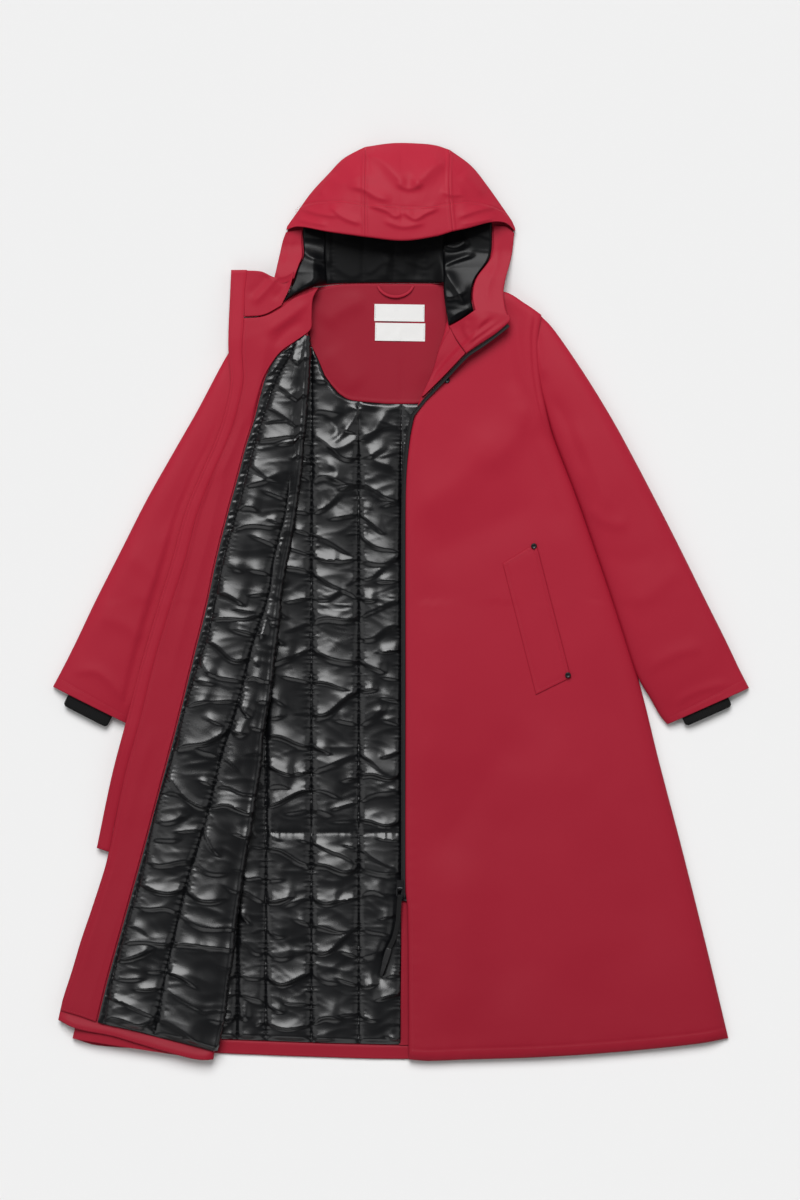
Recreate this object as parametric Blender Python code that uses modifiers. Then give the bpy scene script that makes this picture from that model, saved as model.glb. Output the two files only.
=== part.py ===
"""A long hooded winter raincoat, laid open on a table and seen from above.

The coat lies on its back. The wearer's left front is closed over the back, with its top corner
rolled open as a lapel. The wearer's right front is folded back on itself, so that its quilted
lining shows up to the fold. +X is the wearer's left, +Y runs to the hood and +Z is up. The origin
is on the table, below the middle of the laid-out coat.
"""

import math

import bmesh
import bpy
from mathutils import Matrix

MM = 0.001

# ---------------------------------------------------------------- driving sizes, in metres
GAP = 0.0003                # between two pieces that are sewn or lie together
SHELL = 0.0024              # waterproof outer cloth with its backing
YOKE = 0.0027               # facing inside the back neck
QUILT_STITCH = 0.0026       # quilted lining, along a stitch line
QUILT_PUFF = 0.0068         # quilted lining, in the middle of a channel
LINING_UNDER = SHELL + GAP
FRONT_UNDER = 0.0100        # underside of a front where it lies on the quilted back
FRONT_LOW = SHELL + 0.0023   # underside of a front where it lies on the back shell's hem
FRONT_OVER = 0.0185         # top of a padded front
TURN_UNDER = 0.0181         # underside of the right front's turned leaf
TURN_OVER = TURN_UNDER + SHELL
TURN_BAND = 0.0110          # depth of the turned leaf's hem
TURN_SLIT = 0.0006          # between the two leaves of the folded front
NOSE_MIDDLE = (TURN_OVER + FRONT_UNDER) / 2     # of the folded front's rounded edge
NOSE_LOW = 0.0103           # lowest point of the lining that wraps that edge
FACING_UNDER = TURN_OVER + 3 * GAP
FACING_OVER = FACING_UNDER + 0.0024
TURN_PUFF = 0.0285          # top of the turned leaf's quilting
SIDE_ROLL = 0.045           # how far in the padded body rounds down to its side seam
HEM_BAND = 0.020            # depth of the turned-up hem
HEM_RISE = 0.0020           # second layer of the hem
QUILT_PITCH = 0.050         # between the cross puckers of a quilted channel
HOOD_RISE = 0.050           # how far the hood's top stands over its outline
HOOD_ROUND = 0.045          # distance over which it rises
HOOD_WALL = 0.0060
CUFF_MIDDLE = 0.0090        # height of the rib cuffs' middle
BACK_RIGHT = 0.071          # the visible back layers end here, under the left front

# ---------------------------------------------------------------- outlines
# Every row is (across, up) in millimetres from the origin, from the hood's end to the hem.
BODY_SIDE = [(197, 463), (199, 401), (207, 346), (227, 300), (241, 253), (272, 175), (311, 66),
             (343, -28), (374, -137), (400, -246), (438, -387), (475, -543), (508, -681)]
BACK_NECK = [(-197, 463), (-157, 484), (-93, 496), (-1, 497), (93, 496), (157, 484), (197, 463)]
BACK_HEM = [(-508, -681), (-478, -692), (-398, -698), (-281, -705), (-125, -711), (-1, -714),
            (125, -711), (281, -704), (398, -694), (478, -685), (508, -681)]
YOKE_TOP = [(-149, 480), (-93, 495), (-1, 496), (71, 495)]
FRONT_EDGE = [(71, 435), (68, 419), (59, 392), (49, 357), (30, 315), (11, 275), (8, 264), (8, 250),
              (8, 130), (8, -150), (8, -449), (11, -480), (13, -714)]
FRONT_TOP = [(71, 435), (109, 470), (160, 484), (197, 463)]
FRONT_HEM = [(13, -714), (43, -716), (101, -714), (202, -711), (304, -705), (405, -696),
             (473, -688), (508, -681)]
ROLL_LINE = [(75, 426), (59, 392), (49, 357), (30, 315), (9, 272)]
LAPEL_ZIP = [(170, 430), (147, 416), (124, 401), (102, 386), (71, 354), (36, 318)]
TURN_EDGE = [(-244, 442), (-247, 393), (-245, 346), (-249, 321), (-258, 284), (-272, 245),
             (-286, 214), (-308, 161), (-320, 126), (-335, 66), (-358, -6), (-384, -94),
             (-406, -184), (-430, -271), (-455, -390), (-462, -418), (-531, -652)]
FLAP_EDGE = [(-264, 518), (-266, 471), (-268, 423), (-268, 392), (-265, 346), (-268, 321),
             (-277, 284), (-291, 245), (-305, 214), (-328, 161), (-340, 126), (-356, 66),
             (-378, -6), (-404, -94), (-427, -184), (-450, -271), (-474, -384)]
FOLD = [(-127, 490), (-136, 473), (-138, 445), (-138, 424), (-139, 384), (-144, 301), (-149, 239),
        (-157, 175), (-168, 97), (-178, 45), (-191, -53), (-199, -137), (-211, -204), (-219, -273),
        (-232, -357), (-246, -441), (-258, -527), (-269, -621), (-285, -713)]
TURN_TOP = [(-244, 442), (-213, 445), (-186, 458), (-164, 474), (-139, 483), (-127, 490)]
TURN_HEM = [(-531, -652), (-505, -665), (-450, -676), (-406, -689), (-375, -698), (-316, -713),
            (-285, -713)]
FACING_IN = [(-127, 490), (-136, 473), (-138, 445), (-140, 424), (-177, 401), (-193, 384),
             (-210, 356), (-221, 320), (-230, 284), (-244, 239), (-254, 200), (-271, 138),
             (-289, 66), (-304, -6), (-324, -86), (-348, -184), (-373, -278), (-395, -361),
             (-413, -427), (-434, -502), (-458, -588), (-474, -654)]
FACING_LOW = [(-527, -637), (-500, -645), (-474, -654)]
TURN_LINING_LOW = [(-474, -654), (-441, -664), (-375, -675), (-316, -691), (-283, -699)]
# Stitch lines of the turned front's quilting. Above its start a line runs beside the fold.
STITCH_1 = [(-163, 405), (-175, 380), (-194, 346), (-216, 284), (-232, 229), (-250, 159),
            (-276, 66), (-299, -46), (-320, -109), (-334, -158), (-353, -232), (-381, -324),
            (-401, -418), (-428, -510), (-446, -576), (-463, -657)]
STITCH_2 = [(-156, 408), (-155, 384), (-155, 301), (-160, 229), (-175, 159), (-198, 66),
            (-205, 15), (-232, -70), (-252, -154), (-279, -239), (-299, -324), (-314, -376),
            (-330, -427), (-353, -523), (-368, -591), (-383, -674)]
STITCH_3 = [(-152, 410), (-151, 384), (-152, 301), (-157, 239), (-165, 175), (-176, 97),
            (-186, 45), (-199, -53), (-207, -137), (-217, -204), (-226, -278), (-240, -387),
            (-258, -469), (-273, -526), (-288, -585), (-300, -627), (-310, -692)]
HOOD_TOP_RIGHT = [(-177, 586), (-160, 610), (-139, 638), (-113, 666), (-90, 690), (-69, 703),
                  (-55, 709)]
HOOD_TOP_MIDDLE = [(-54, 709), (-12, 716), (29, 715), (56, 711), (75, 704)]
HOOD_TOP_LEFT = [(76, 704), (107, 679), (133, 646), (158, 612), (172, 594), (179, 584)]
BRIM_RIGHT = [(-178, 581), (-160, 585), (-113, 575), (-55, 566)]
BRIM_MIDDLE = [(-54, 566), (4, 560), (55, 567), (81, 575)]
BRIM_LEFT = [(82, 575), (107, 581), (141, 591), (164, 591), (179, 579)]
CROWN_SEAM_RIGHT = [(-55, 709), (-56, 640), (-55, 566)]
CROWN_SEAM_LEFT = [(75, 704), (76, 640), (81, 575)]
BRIM_SEAM = [(-157, 618), (-100, 624), (-58, 618), (-22, 615), (17, 612), (56, 615), (107, 622),
             (158, 612)]
HOOD_BACK_TOP = [(-175, 583), (-158, 609), (-137, 636), (-89, 687), (-47, 708), (29, 712),
                 (75, 701), (131, 644), (170, 593), (177, 582)]
HOOD_BACK_RIGHT = [(-175, 583), (-182, 565), (-186, 540), (-193, 508)]
HOOD_BACK_LEFT = [(177, 582), (172, 542), (160, 489)]
HOOD_BACK_LOW = [(-193, 508), (-160, 493), (-93, 497), (-1, 498), (93, 497), (160, 489)]
BAND_RIGHT_OUT = [(-179, 577), (-184, 563), (-189, 540), (-195, 508)]
BAND_RIGHT_IN = [(-153, 581), (-154, 565), (-153, 540), (-158, 528), (-164, 517)]
BAND_RIGHT_LOW = [(-195, 508), (-178, 509), (-164, 517)]
BAND_LEFT_OUT = [(178, 576), (174, 542), (161, 488), (163, 458), (168, 443)]
BAND_LEFT_IN = [(145, 587), (142, 540), (118, 504), (112, 477), (116, 453)]
BAND_LEFT_LOW = [(116, 453), (142, 451), (168, 443)]
TAIL_RIGHT_OUT = [(-152, 592), (-152, 565), (-151, 540), (-159, 520), (-169, 491), (-183, 467)]
TAIL_RIGHT_IN = [(-117, 600), (-117, 540), (-114, 498)]
TAIL_RIGHT_LOW = [(-183, 467), (-163, 479), (-138, 490), (-114, 498)]
TAIL_LEFT_IN = [(67, 600), (66, 549), (67, 502), (68, 477), (75, 431)]
TAIL_LEFT_OUT = [(143, 600), (143, 587), (140, 540), (116, 504), (110, 477), (114, 453)]
TAIL_LEFT_LOW = [(75, 431), (95, 441), (114, 453)]
COLLAR_RIGHT_TOP = [(-238, 517), (-216, 515), (-196, 506), (-178, 507), (-166, 515)]
COLLAR_RIGHT_OUT = [(-238, 517), (-241, 480), (-242, 446)]
COLLAR_RIGHT_IN = [(-166, 515), (-172, 491), (-186, 464)]
COLLAR_RIGHT_LOW = [(-242, 446), (-213, 449), (-186, 464)]
COLLAR_LEFT_TOP = [(116, 451), (142, 449), (169, 441)]
COLLAR_LEFT_IN = [(116, 451), (97, 440), (76, 429)]
COLLAR_LEFT_OUT = [(169, 441), (169.5, 431), (147, 416), (124, 401), (102, 386)]
COLLAR_LEFT_LOW = [(76, 429), (87, 408), (102, 386)]
POCKET_IN = [(159, 60), (211, -145)]
POCKET_OUT = [(212, 92), (266, -118)]

# Sleeve stations from the armhole to the mouth: outer edge, inner edge (mm), height (mm).
LEFT_SLEEVE = [((197, 463), (227, 300), 16), ((226, 424), (242, 254), 19), ((268, 356), (260, 207), 22),
               ((311, 284), (282, 149), 24), ((350, 218), (303, 88), 25), ((389, 151), (325, 24), 25),
               ((428, 78), (346, -40), 25), ((467, 3), (370, -112), 24), ((502, -61), (393, -153), 22),
               ((525, -102), (406, -175), 19), ((541, -131), (417, -189), 18)]
RIGHT_SLEEVE = [((-197, 463), (-227, 300), 15), ((-235, 437), (-242, 254), 16),
                ((-272, 384), (-260, 207), 17), ((-317, 300), (-282, 149), 18),
                ((-353, 237), (-303, 88), 19), ((-397, 159), (-325, 24), 20),
                ((-437, 80), (-346, -40), 21), ((-475, 3), (-370, -112), 21),
                ((-505, -59), (-393, -153), 20), ((-525, -98), (-409, -174), 19),
                ((-541, -129), (-423, -189), 18)]
ARMHOLE_BOW = (1.0, 0.7, 0.4, 0.2, 0.1, 0, 0, 0, 0, 0, 0)   # armhole's curve kept at each station
SLEEVE_GAP = 0.0026         # from the armhole's seam and the body's side, in metres

# Columns of the back lining: across (mm), upper end, lower end. The middle ones meet the yoke.
BACK_COLUMNS = [(-290, -621), (-279, -527), (-267, -441), (-253, -357), (-240, -273), (-232, -205),
                (-221, -140), (-210, -50), (-199, 40), (-188, 97), (-177, 175), (-165, 300),
                (-152, 380), (-139, 400), (-129, 380), (-118, 353), (-108, 339), (-96, 325),
                (-84, 317), (-74, 314), (-65, 313), (-54, 312), (-43, 311), (-32, 310), (-21, 309),
                (-10, 309), (-2.6, 309), (2, 309), (22, 309), (45, 311), (71, 314)]
BACK_STITCHES = (-255, -210, -139, -65, 2)      # across (mm)
BACK_ROWS = 42                                  # rows of points down the back lining
BACK_SEAM = -360                                # gathered seam across the back lining (mm)
VENT_TOP = -470                                 # upper end of the back vent's facing (mm)
VENT_COLUMN = 1                                 # columns right of this one stop at the vent (mm)

HINGE = (-0.0007, -0.4460, 0.0175)              # middle of the zip pull's bar, along X
RING_RADIUS = 0.0028
BORE_RADIUS = 0.0015
WIRE_RADIUS = 0.0009
LOOP_WIDTH = 0.0096
LOOP_LENGTH = 0.0125
RIBBON_WIDTH = 0.0064
# The pull's tip: place along it, width, height (mm).
PULL_TIP = [(0, 7.0, 2.2), (1, 8.6, 3.0), (8, 9.4, 3.4), (24, 8.8, 3.4), (28, 7.4, 3.0), (38, 6.4, 3.0),
            (43, 4.8, 2.6), (45.5, 2.4, 1.8)]

RED = (0.365, 0.020, 0.038)
DEEP_RED = (0.300, 0.016, 0.030)
QUILT_BLACK = (0.012, 0.012, 0.014)
RIB_BLACK = (0.006, 0.006, 0.007)
METAL_BLACK = (0.030, 0.030, 0.032)
LABEL_WHITE = (0.800, 0.790, 0.770)


# ---------------------------------------------------------------- curves and patches
def smoothstep(value):
    value = min(1.0, max(0.0, value))
    return value * value * (3.0 - 2.0 * value)


def at_height(rows, up):
    """Across position, in metres, of a table's line at a height given in metres."""
    rows = sorted(rows, key=lambda row: row[1])
    level = up / MM
    if level <= rows[0][1]:
        return rows[0][0] * MM
    for low, high in zip(rows, rows[1:]):
        if level <= high[1]:
            share = (level - low[1]) / max(1e-9, high[1] - low[1])
            return (low[0] + share * (high[0] - low[0])) * MM
    return rows[-1][0] * MM


class Edge:
    """A smooth line through a table's rows, read by its fraction of the length."""

    def __init__(self, rows, steps=6):
        points = [(across * MM, up * MM) for across, up in rows]
        padded = [points[0]] + points + [points[-1]]
        self.points = [points[0]]
        for before, start, end, after in zip(padded, padded[1:], padded[2:], padded[3:]):
            for step in range(1, steps + 1):
                self.points.append(self.between(before, start, end, after, step / steps))
        self.lengths = [0.0]
        for one, two in zip(self.points, self.points[1:]):
            self.lengths.append(self.lengths[-1] + math.dist(one, two))

    @staticmethod
    def between(before, start, end, after, share):
        """Catmull-Rom point, its tangents shortened where the rows are unevenly spaced."""
        span = math.dist(start, end)
        result = []
        for axis in range(2):
            chord_in = math.dist(before, start) + span
            chord_out = span + math.dist(end, after)
            slope_in = (end[axis] - before[axis]) / max(chord_in, 1e-9) * span
            slope_out = (after[axis] - start[axis]) / max(chord_out, 1e-9) * span
            a = 2 * share ** 3 - 3 * share ** 2 + 1
            b = share ** 3 - 2 * share ** 2 + share
            c = -2 * share ** 3 + 3 * share ** 2
            d = share ** 3 - share ** 2
            result.append(a * start[axis] + b * slope_in + c * end[axis] + d * slope_out)
        return tuple(result)

    def at(self, fraction):
        wanted = min(1.0, max(0.0, fraction)) * self.lengths[-1]
        for index, length in enumerate(self.lengths[1:]):
            if wanted <= length:
                start, end = self.points[index], self.points[index + 1]
                share = (wanted - self.lengths[index]) / max(1e-9, length - self.lengths[index])
                return tuple(p + share * (q - p) for p, q in zip(start, end))
        return self.points[-1]

    def distance(self, x, y):
        best = 1e9
        for (ax, ay), (bx, by) in zip(self.points, self.points[1:]):
            dx, dy = bx - ax, by - ay
            share = ((x - ax) * dx + (y - ay) * dy) / max(1e-12, dx * dx + dy * dy)
            share = min(1.0, max(0.0, share))
            best = min(best, math.hypot(x - ax - share * dx, y - ay - share * dy))
        return best


class Panel:
    """A cut piece between four edges. u runs from its left edge, v from its upper edge."""

    def __init__(self, top, low, left, right):
        self.top, self.low, self.left, self.right = Edge(top), Edge(low), Edge(left), Edge(right)

    def at(self, u, v):
        top, low, left, right = self.top.at(u), self.low.at(u), self.left.at(v), self.right.at(v)
        corners = self.top.at(0), self.top.at(1), self.low.at(0), self.low.at(1)
        return tuple(
            (1 - v) * top[k] + v * low[k] + (1 - u) * left[k] + u * right[k]
            - (1 - u) * (1 - v) * corners[0][k] - u * (1 - v) * corners[1][k]
            - (1 - u) * v * corners[2][k] - u * v * corners[3][k]
            for k in range(2))

    def find(self, x, v):
        """The u at which a row of the piece has a given x."""
        low, high = 0.0, 1.0
        for _ in range(24):
            middle = (low + high) / 2
            if self.at(middle, v)[0] < x:
                low = middle
            else:
                high = middle
        return low

    def grid(self, columns, rows):
        return [[self.at(u, v) for u in columns] for v in rows]


class Rails:
    """A cut piece whose columns follow lines that run from its upper edge to its lower one."""

    def __init__(self, *lines):
        self.lines = [Edge(line) for line in lines]

    def at(self, place, v):
        index = min(int(place), len(self.lines) - 2)
        share = place - index
        start, end = self.lines[index].at(v), self.lines[index + 1].at(v)
        return tuple(p + share * (q - p) for p, q in zip(start, end))


def steps(count, start=0.0, end=1.0):
    return [start + (end - start) * index / count for index in range(count + 1)]


def insets(length, distances, middle, far=None):
    """Fractions of a length: fixed distances in from both ends, and even steps between them."""
    far = distances if far is None else far
    near = [0.0] + [distance / length for distance in distances]
    end = [1.0 - distance / length for distance in reversed(far)] + [1.0]
    return near[:-1] + steps(middle, near[-1], end[0]) + end[1:]


def rounded(distance, radius, drop):
    """How far a rounded edge lies below the panel's top, at a distance in from the edge."""
    if distance >= radius:
        return 0.0
    share = 1.0 - distance / radius
    return drop * (1.0 - math.sqrt(1.0 - share * share))


# ---------------------------------------------------------------- solids
def finish(name, builder, color, roughness, metallic=0.0):
    mesh = bpy.data.meshes.new(name)
    bmesh.ops.recalc_face_normals(builder, faces=builder.faces)
    if builder.calc_volume(signed=True) < 0.0:
        bmesh.ops.reverse_faces(builder, faces=builder.faces)
    builder.to_mesh(mesh)
    builder.free()
    mesh.shade_smooth()
    mesh.set_sharp_from_angle(angle=math.radians(40))
    piece = bpy.data.objects.new(name, mesh)
    coat.objects.link(piece)
    return paint(piece, color, roughness, metallic)


def paint(piece, color, roughness, metallic=0.0):
    material = bpy.data.materials.new(piece.name)
    material.use_nodes = True
    shader = material.node_tree.nodes["Principled BSDF"]
    shader.inputs["Base Color"].default_value = (*color, 1.0)
    shader.inputs["Roughness"].default_value = roughness
    shader.inputs["Metallic"].default_value = metallic
    piece.data.materials.clear()
    piece.data.materials.append(material)
    return piece


def strip_faces(builder, rows, closed):
    """Quads between neighbouring chains of points."""
    for one, two in zip(rows, rows[1:]):
        count = len(one) if closed else len(one) - 1
        for k in range(count):
            after = (k + 1) % len(one)
            builder.faces.new((one[k], one[after], two[after], two[k]))


def zip_faces(builder, over, under):
    """Triangles across a thin end, between two chains that may have different counts."""
    i = j = 0
    while i < len(over) - 1 or j < len(under) - 1:
        ahead_over = (i + 1) / (len(over) - 1) if i < len(over) - 1 else 2.0
        ahead_under = (j + 1) / (len(under) - 1) if j < len(under) - 1 else 2.0
        if ahead_over <= ahead_under:
            builder.faces.new((over[i], over[i + 1], under[j]))
            i += 1
        else:
            builder.faces.new((over[i], under[j + 1], under[j]))
            j += 1


def slab(name, over, floor, color, roughness):
    """A piece with a shaped top over a plain flat underside."""
    builder = bmesh.new()
    rows = [[builder.verts.new(point) for point in row] for row in over]
    strip_faces(builder, rows, False)
    border = list(rows[0]) + [row[-1] for row in rows[1:-1]] + list(reversed(rows[-1]))
    border += [row[0] for row in reversed(rows[1:-1])]
    under = [builder.verts.new((vert.co.x, vert.co.y, floor)) for vert in border]
    count = len(border)
    for k in range(count):
        after = (k + 1) % count
        builder.faces.new((border[k], under[k], under[after], border[after]))
    builder.faces.new(under)
    return finish(name, builder, color, roughness)


def wall(name, over, under, color, roughness):
    """A cloth wall between two sets of chains, with one chain of each set in every row."""
    builder = bmesh.new()
    tops = [[builder.verts.new(point) for point in row] for row in over]
    lows = [[builder.verts.new(point) for point in row] for row in under]
    strip_faces(builder, tops, False)
    strip_faces(builder, lows, False)
    for end in (0, -1):
        strip_faces(builder, [[row[end] for row in tops], [row[end] for row in lows]], False)
        zip_faces(builder, tops[end], lows[end])
    return finish(name, builder, color, roughness)


def tube(name, outer, inner, color, roughness):
    """A flattened tube with an open way through it, from matching outer and inner rings."""
    builder = bmesh.new()
    outside = [[builder.verts.new(point) for point in ring] for ring in outer]
    inside = [[builder.verts.new(point) for point in ring] for ring in inner]
    strip_faces(builder, outside, True)
    strip_faces(builder, inside, True)
    for end in (0, -1):
        strip_faces(builder, [outside[end], inside[end]], True)
    return finish(name, builder, color, roughness)


def ribbon(name, path, width, thickness, color, roughness):
    """A flat strip along a path of (x, y, z) points, its width level and square to the path."""
    over, under = [], []
    for index, (x, y, z) in enumerate(path):
        before, after = path[max(0, index - 1)], path[min(len(path) - 1, index + 1)]
        run = math.hypot(after[0] - before[0], after[1] - before[1])
        side = (-(after[1] - before[1]) / run * width / 2, (after[0] - before[0]) / run * width / 2)
        for chain, height in ((over, z + thickness / 2), (under, z - thickness / 2)):
            chain.append([(x + s * side[0], y + s * side[1], height) for s in (-1, 1)])
    return wall(name, over, under, color, roughness)


def raised(grid, height):
    return [[(x, y, height(x, y)) for x, y in row] for row in grid]


# ---------------------------------------------------------------- heights
TURN_LINE = Edge(FLAP_EDGE + [(-455, -390), (-462, -418), (-531, -652)])
HOOD_OUTLINE = Edge(HOOD_TOP_RIGHT + HOOD_TOP_MIDDLE + HOOD_TOP_LEFT)
ROLL = Edge(ROLL_LINE)


def droop(x, y):
    """How far the turned front sinks: along its free edge below the cuff, and at the top corner."""
    inward = max(0.0, x - at_height(TURN_EDGE, y))
    sunk = max(0.0, 1.0 - inward / 0.014) * 0.5 + max(0.0, 1.0 - inward / 0.045) * 0.5
    edge = 0.010 * smoothstep((-0.190 - y) / 0.200) * sunk
    corner = 0.008 * max(0.0, 1.0 - math.hypot(x + 0.264, y - 0.518) / 0.110)
    return edge + corner


def puff(x, y, left, right, phase):
    """Height of a quilted channel over its stitch lines, from 0 to 1."""
    width = max(1e-6, right - left)
    across = min(1.0, max(0.0, (x - left) / width))
    crown = math.sin(math.pi * across) ** 0.6 if 0.0 < across < 1.0 else 0.0
    pucker = 0.82 + 0.18 * math.cos(2 * math.pi * (y / QUILT_PITCH + phase))
    return crown * pucker * min(1.0, width / 0.045)


def back_quilt(x, y):
    lines = [line * MM for line in BACK_STITCHES] + [0.080]
    left, right, phase = -0.310, lines[0], 0.0
    for index, (one, two) in enumerate(zip(lines, lines[1:])):
        if one <= x <= two:
            left, right, phase = one, two, 0.37 * (index + 1)
    low = at_height([(up, across) for across, up in BACK_HEM[:6]], x) + HEM_BAND
    ends = smoothstep(abs(y - BACK_SEAM * MM) / 0.014) * smoothstep((y - low) / 0.012 + 0.15)
    rise = puff(x, y, left, right, phase) * ends
    return LINING_UNDER + QUILT_STITCH + (QUILT_PUFF - QUILT_STITCH) * rise


def neck_lift(x, y):
    """The hood's sides climb from the table to the fronts that they are sewn to."""
    right = 0.0152 * smoothstep((0.560 - y) / 0.050) * smoothstep((-0.112 - x) / 0.026)
    left = 0.0162 * smoothstep((0.552 - y) / 0.062) * smoothstep((x - 0.048) / 0.024)
    return right + left


def lapel_lift(x, y):
    """The rolled lapel opens away from the front below it."""
    return 0.0095 * smoothstep(ROLL.distance(x, y) / 0.050) * smoothstep((0.475 - y) / 0.040)


def hood_top(x, y):
    rise = HOOD_RISE * (1.0 - math.exp(-HOOD_OUTLINE.distance(x, y) / HOOD_ROUND))
    band = 0.0012 * smoothstep((at_across(BRIM_SEAM, x) - y) / 0.003)
    return 0.0060 + rise + band


def at_across(rows, across):
    return at_height([(up, side) for side, up in rows], across)


# ---------------------------------------------------------------- pieces of the back
def mirrored(rows):
    return [(-across, up) for across, up in rows]


def back_shell():
    panel = Panel(BACK_NECK, BACK_HEM, mirrored(BODY_SIDE), BODY_SIDE)
    length = 1.19
    over = []
    for v in insets(length, (), 22, (0.0016, HEM_BAND - 0.0008, HEM_BAND + 0.0008)):
        top = SHELL + (HEM_RISE if v > 1.0 - HEM_BAND / length else 0.0)
        over.append([(x, y, top) for x, y in (panel.at(u, v) for u in steps(10))])
    slab("back_shell", over, 0.0, RED, 0.55)


def back_yoke():
    """Its columns end where the lining's columns begin, so that the seam between them is even."""
    top = Edge(YOKE_TOP)
    lower = [(across * MM, upper * MM) for across, upper in BACK_COLUMNS if across >= -139]
    over = []
    for v in insets(0.17, (0.003,), 3):
        row = []
        for x, y in lower:
            high_x, high_y = top.at((x + 0.139) / 0.210)
            row.append((high_x + v * (x - high_x), high_y + v * (y - high_y), LINING_UNDER + YOKE))
        over.append(row)
    slab("back_yoke", over, LINING_UNDER, RED, 0.55)


def back_lining():
    low = [(up, across) for across, up in BACK_HEM]
    over = [[] for _ in steps(BACK_ROWS)]
    for across, upper in BACK_COLUMNS:
        x = across * MM
        lower = VENT_TOP * MM + 0.003 if across > VENT_COLUMN else at_height(low, x) + HEM_BAND + 0.003
        for row, v in zip(over, steps(BACK_ROWS)):
            y = upper * MM - 0.0004 + v * (lower - upper * MM)
            row.append((x, y, back_quilt(x, y)))
    slab("back_lining", over, LINING_UNDER, QUILT_BLACK, 0.32)


def vent_facing():
    panel = Panel([(3.5, VENT_TOP), (32, VENT_TOP)], [(-1.6, -692), (32, -692)],
                  [(3.5, VENT_TOP), (-1.6, -692)], [(32, VENT_TOP), (32, -692)])
    over = raised(panel.grid(insets(0.030, (0.002,), 2), steps(4)), lambda x, y: LINING_UNDER + 0.0033)
    slab("vent_facing", over, LINING_UNDER, DEEP_RED, 0.55)


# ---------------------------------------------------------------- the left front and its lapel
def left_front_top(x, y, inward, outward, below, above):
    """Top of the left front, from the distances in from its four edges."""
    side = smoothstep((0.310 - y) / 0.060)
    drop = rounded(outward, 0.012 + (SIDE_ROLL - 0.012) * side, 0.0028 + 0.0107 * side)
    drop += rounded(inward, 0.010, 0.0045) + rounded(below, 0.016, 0.0060)
    drop += rounded(above, 0.014, 0.0050)
    return FRONT_OVER - min(drop, 0.0118)


def left_front():
    panel = Panel(FRONT_TOP, FRONT_HEM, FRONT_EDGE, BODY_SIDE)
    over, under = [], []
    for v in insets(1.15, (0.004, 0.012), 24, (0.0015, 0.006, 0.016, 0.030)):
        width = math.dist(panel.at(0, v), panel.at(1, v))
        chain = []
        for u in insets(width, (0.0015, 0.005, 0.010), 9, (0.001, 0.004, 0.010, 0.022, 0.045)):
            x, y = panel.at(u, v)
            below = math.dist((x, y), panel.at(u, 1))
            above = math.dist((x, y), panel.at(u, 0))
            top = left_front_top(x, y, u * width, (1 - u) * width, below, above)
            chain.append((x, y, top))
        over.append(chain)
        under.append(stepped_underside(panel, v, max(BACK_RIGHT + 0.0015, chain[0][0] + 0.008)))
    wall("left_front", over, under, RED, 0.55)


def stepped_underside(panel, v, turn):
    """One row of the underside: level over the back's layers, then a step down onto the back."""
    share = panel.find(turn, v)
    lift = math.dist(panel.at(share, v), panel.at(share, 1))
    high = FRONT_UNDER - 0.004 * (1.0 - smoothstep(lift / 0.030))
    chain = []
    for index, u in enumerate([0.0, share * 0.5, share, share + 0.006] + steps(4, share + 0.006, 1.0)[1:]):
        x, y = panel.at(u, v)
        chain.append((x, y, high if index < 3 else FRONT_LOW))
    return chain


def lapel():
    panel = Panel([(77, 427), (87, 407), (101, 386)], [(33, 320), (35, 320)],
                  [(77, 427), (60, 392), (50, 357), (33, 320)],
                  [(101, 386), (70.5, 354.5), (35, 320)])
    lay_over_front("left_facing", panel, steps(5), steps(10))


def left_collar():
    panel = Panel(COLLAR_LEFT_TOP, COLLAR_LEFT_LOW, COLLAR_LEFT_IN, COLLAR_LEFT_OUT)
    lay_over_front("left_collar", panel, steps(8), steps(8))


def lay_over_front(name, panel, columns, rows):
    """A facing that lies on the left front, its underside raised off the front's top."""
    def under(x, y):
        return FRONT_OVER + GAP + lapel_lift(x, y)
    grid = panel.grid(columns, rows)
    wall(name, raised(grid, lambda x, y: under(x, y) + 0.0042), raised(grid, under), RED, 0.55)


# ---------------------------------------------------------------- the folded right front
def right_front():
    """Both leaves in one wall: the turned leaf, the fold and the leaf under it."""
    turned = Panel(TURN_TOP, TURN_HEM, TURN_EDGE, FOLD)
    lower = Panel([(-197, 463), (-157, 482), (-127, 490)],
                  [(-508, -681), (-478, -690), (-398, -697), (-285, -703)], mirrored(BODY_SIDE), FOLD)
    over, under = [], []
    for v in insets(1.19, (0.004, 0.020), 25, (0.0015, TURN_BAND, TURN_BAND + 0.002)):
        fold_x, fold_y = turned.at(1, v)
        inset = 0.0012 + 0.0053 * smoothstep((0.450 - fold_y) / 0.022)
        nose = fold_x - inset
        band = HEM_RISE if v > 1.0 - (TURN_BAND + 0.001) / 1.19 else 0.0
        top, inner = [], []
        width = fold_x - turned.at(0, v)[0]
        for u in insets(width, (0.003, 0.014, 0.045), 4, (0.013, 0.018)):
            if u == 1.0:
                break
            x, y = turned.at(u, v)
            sink = droop(x, y)
            top.append((x, y, TURN_OVER + band - sink))
            inner.append((x, y, TURN_UNDER - sink))
        middle = (TURN_OVER + FRONT_UNDER) / 2
        radius = (TURN_OVER - FRONT_UNDER) / 2
        for angle in (60, 20, -20, -60):
            turn = math.radians(angle)
            top.append((nose - radius + radius * math.cos(turn), fold_y,
                        middle + radius * math.sin(turn)))
        inner.append((nose - radius - 0.001, fold_y, TURN_UNDER - TURN_SLIT / 2))
        bottoms, tops = leaf_below(lower, v, nose)
        over.append(top + bottoms)
        under.append(inner + tops)
    wall("right_front", over, under, RED, 0.55)


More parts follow.
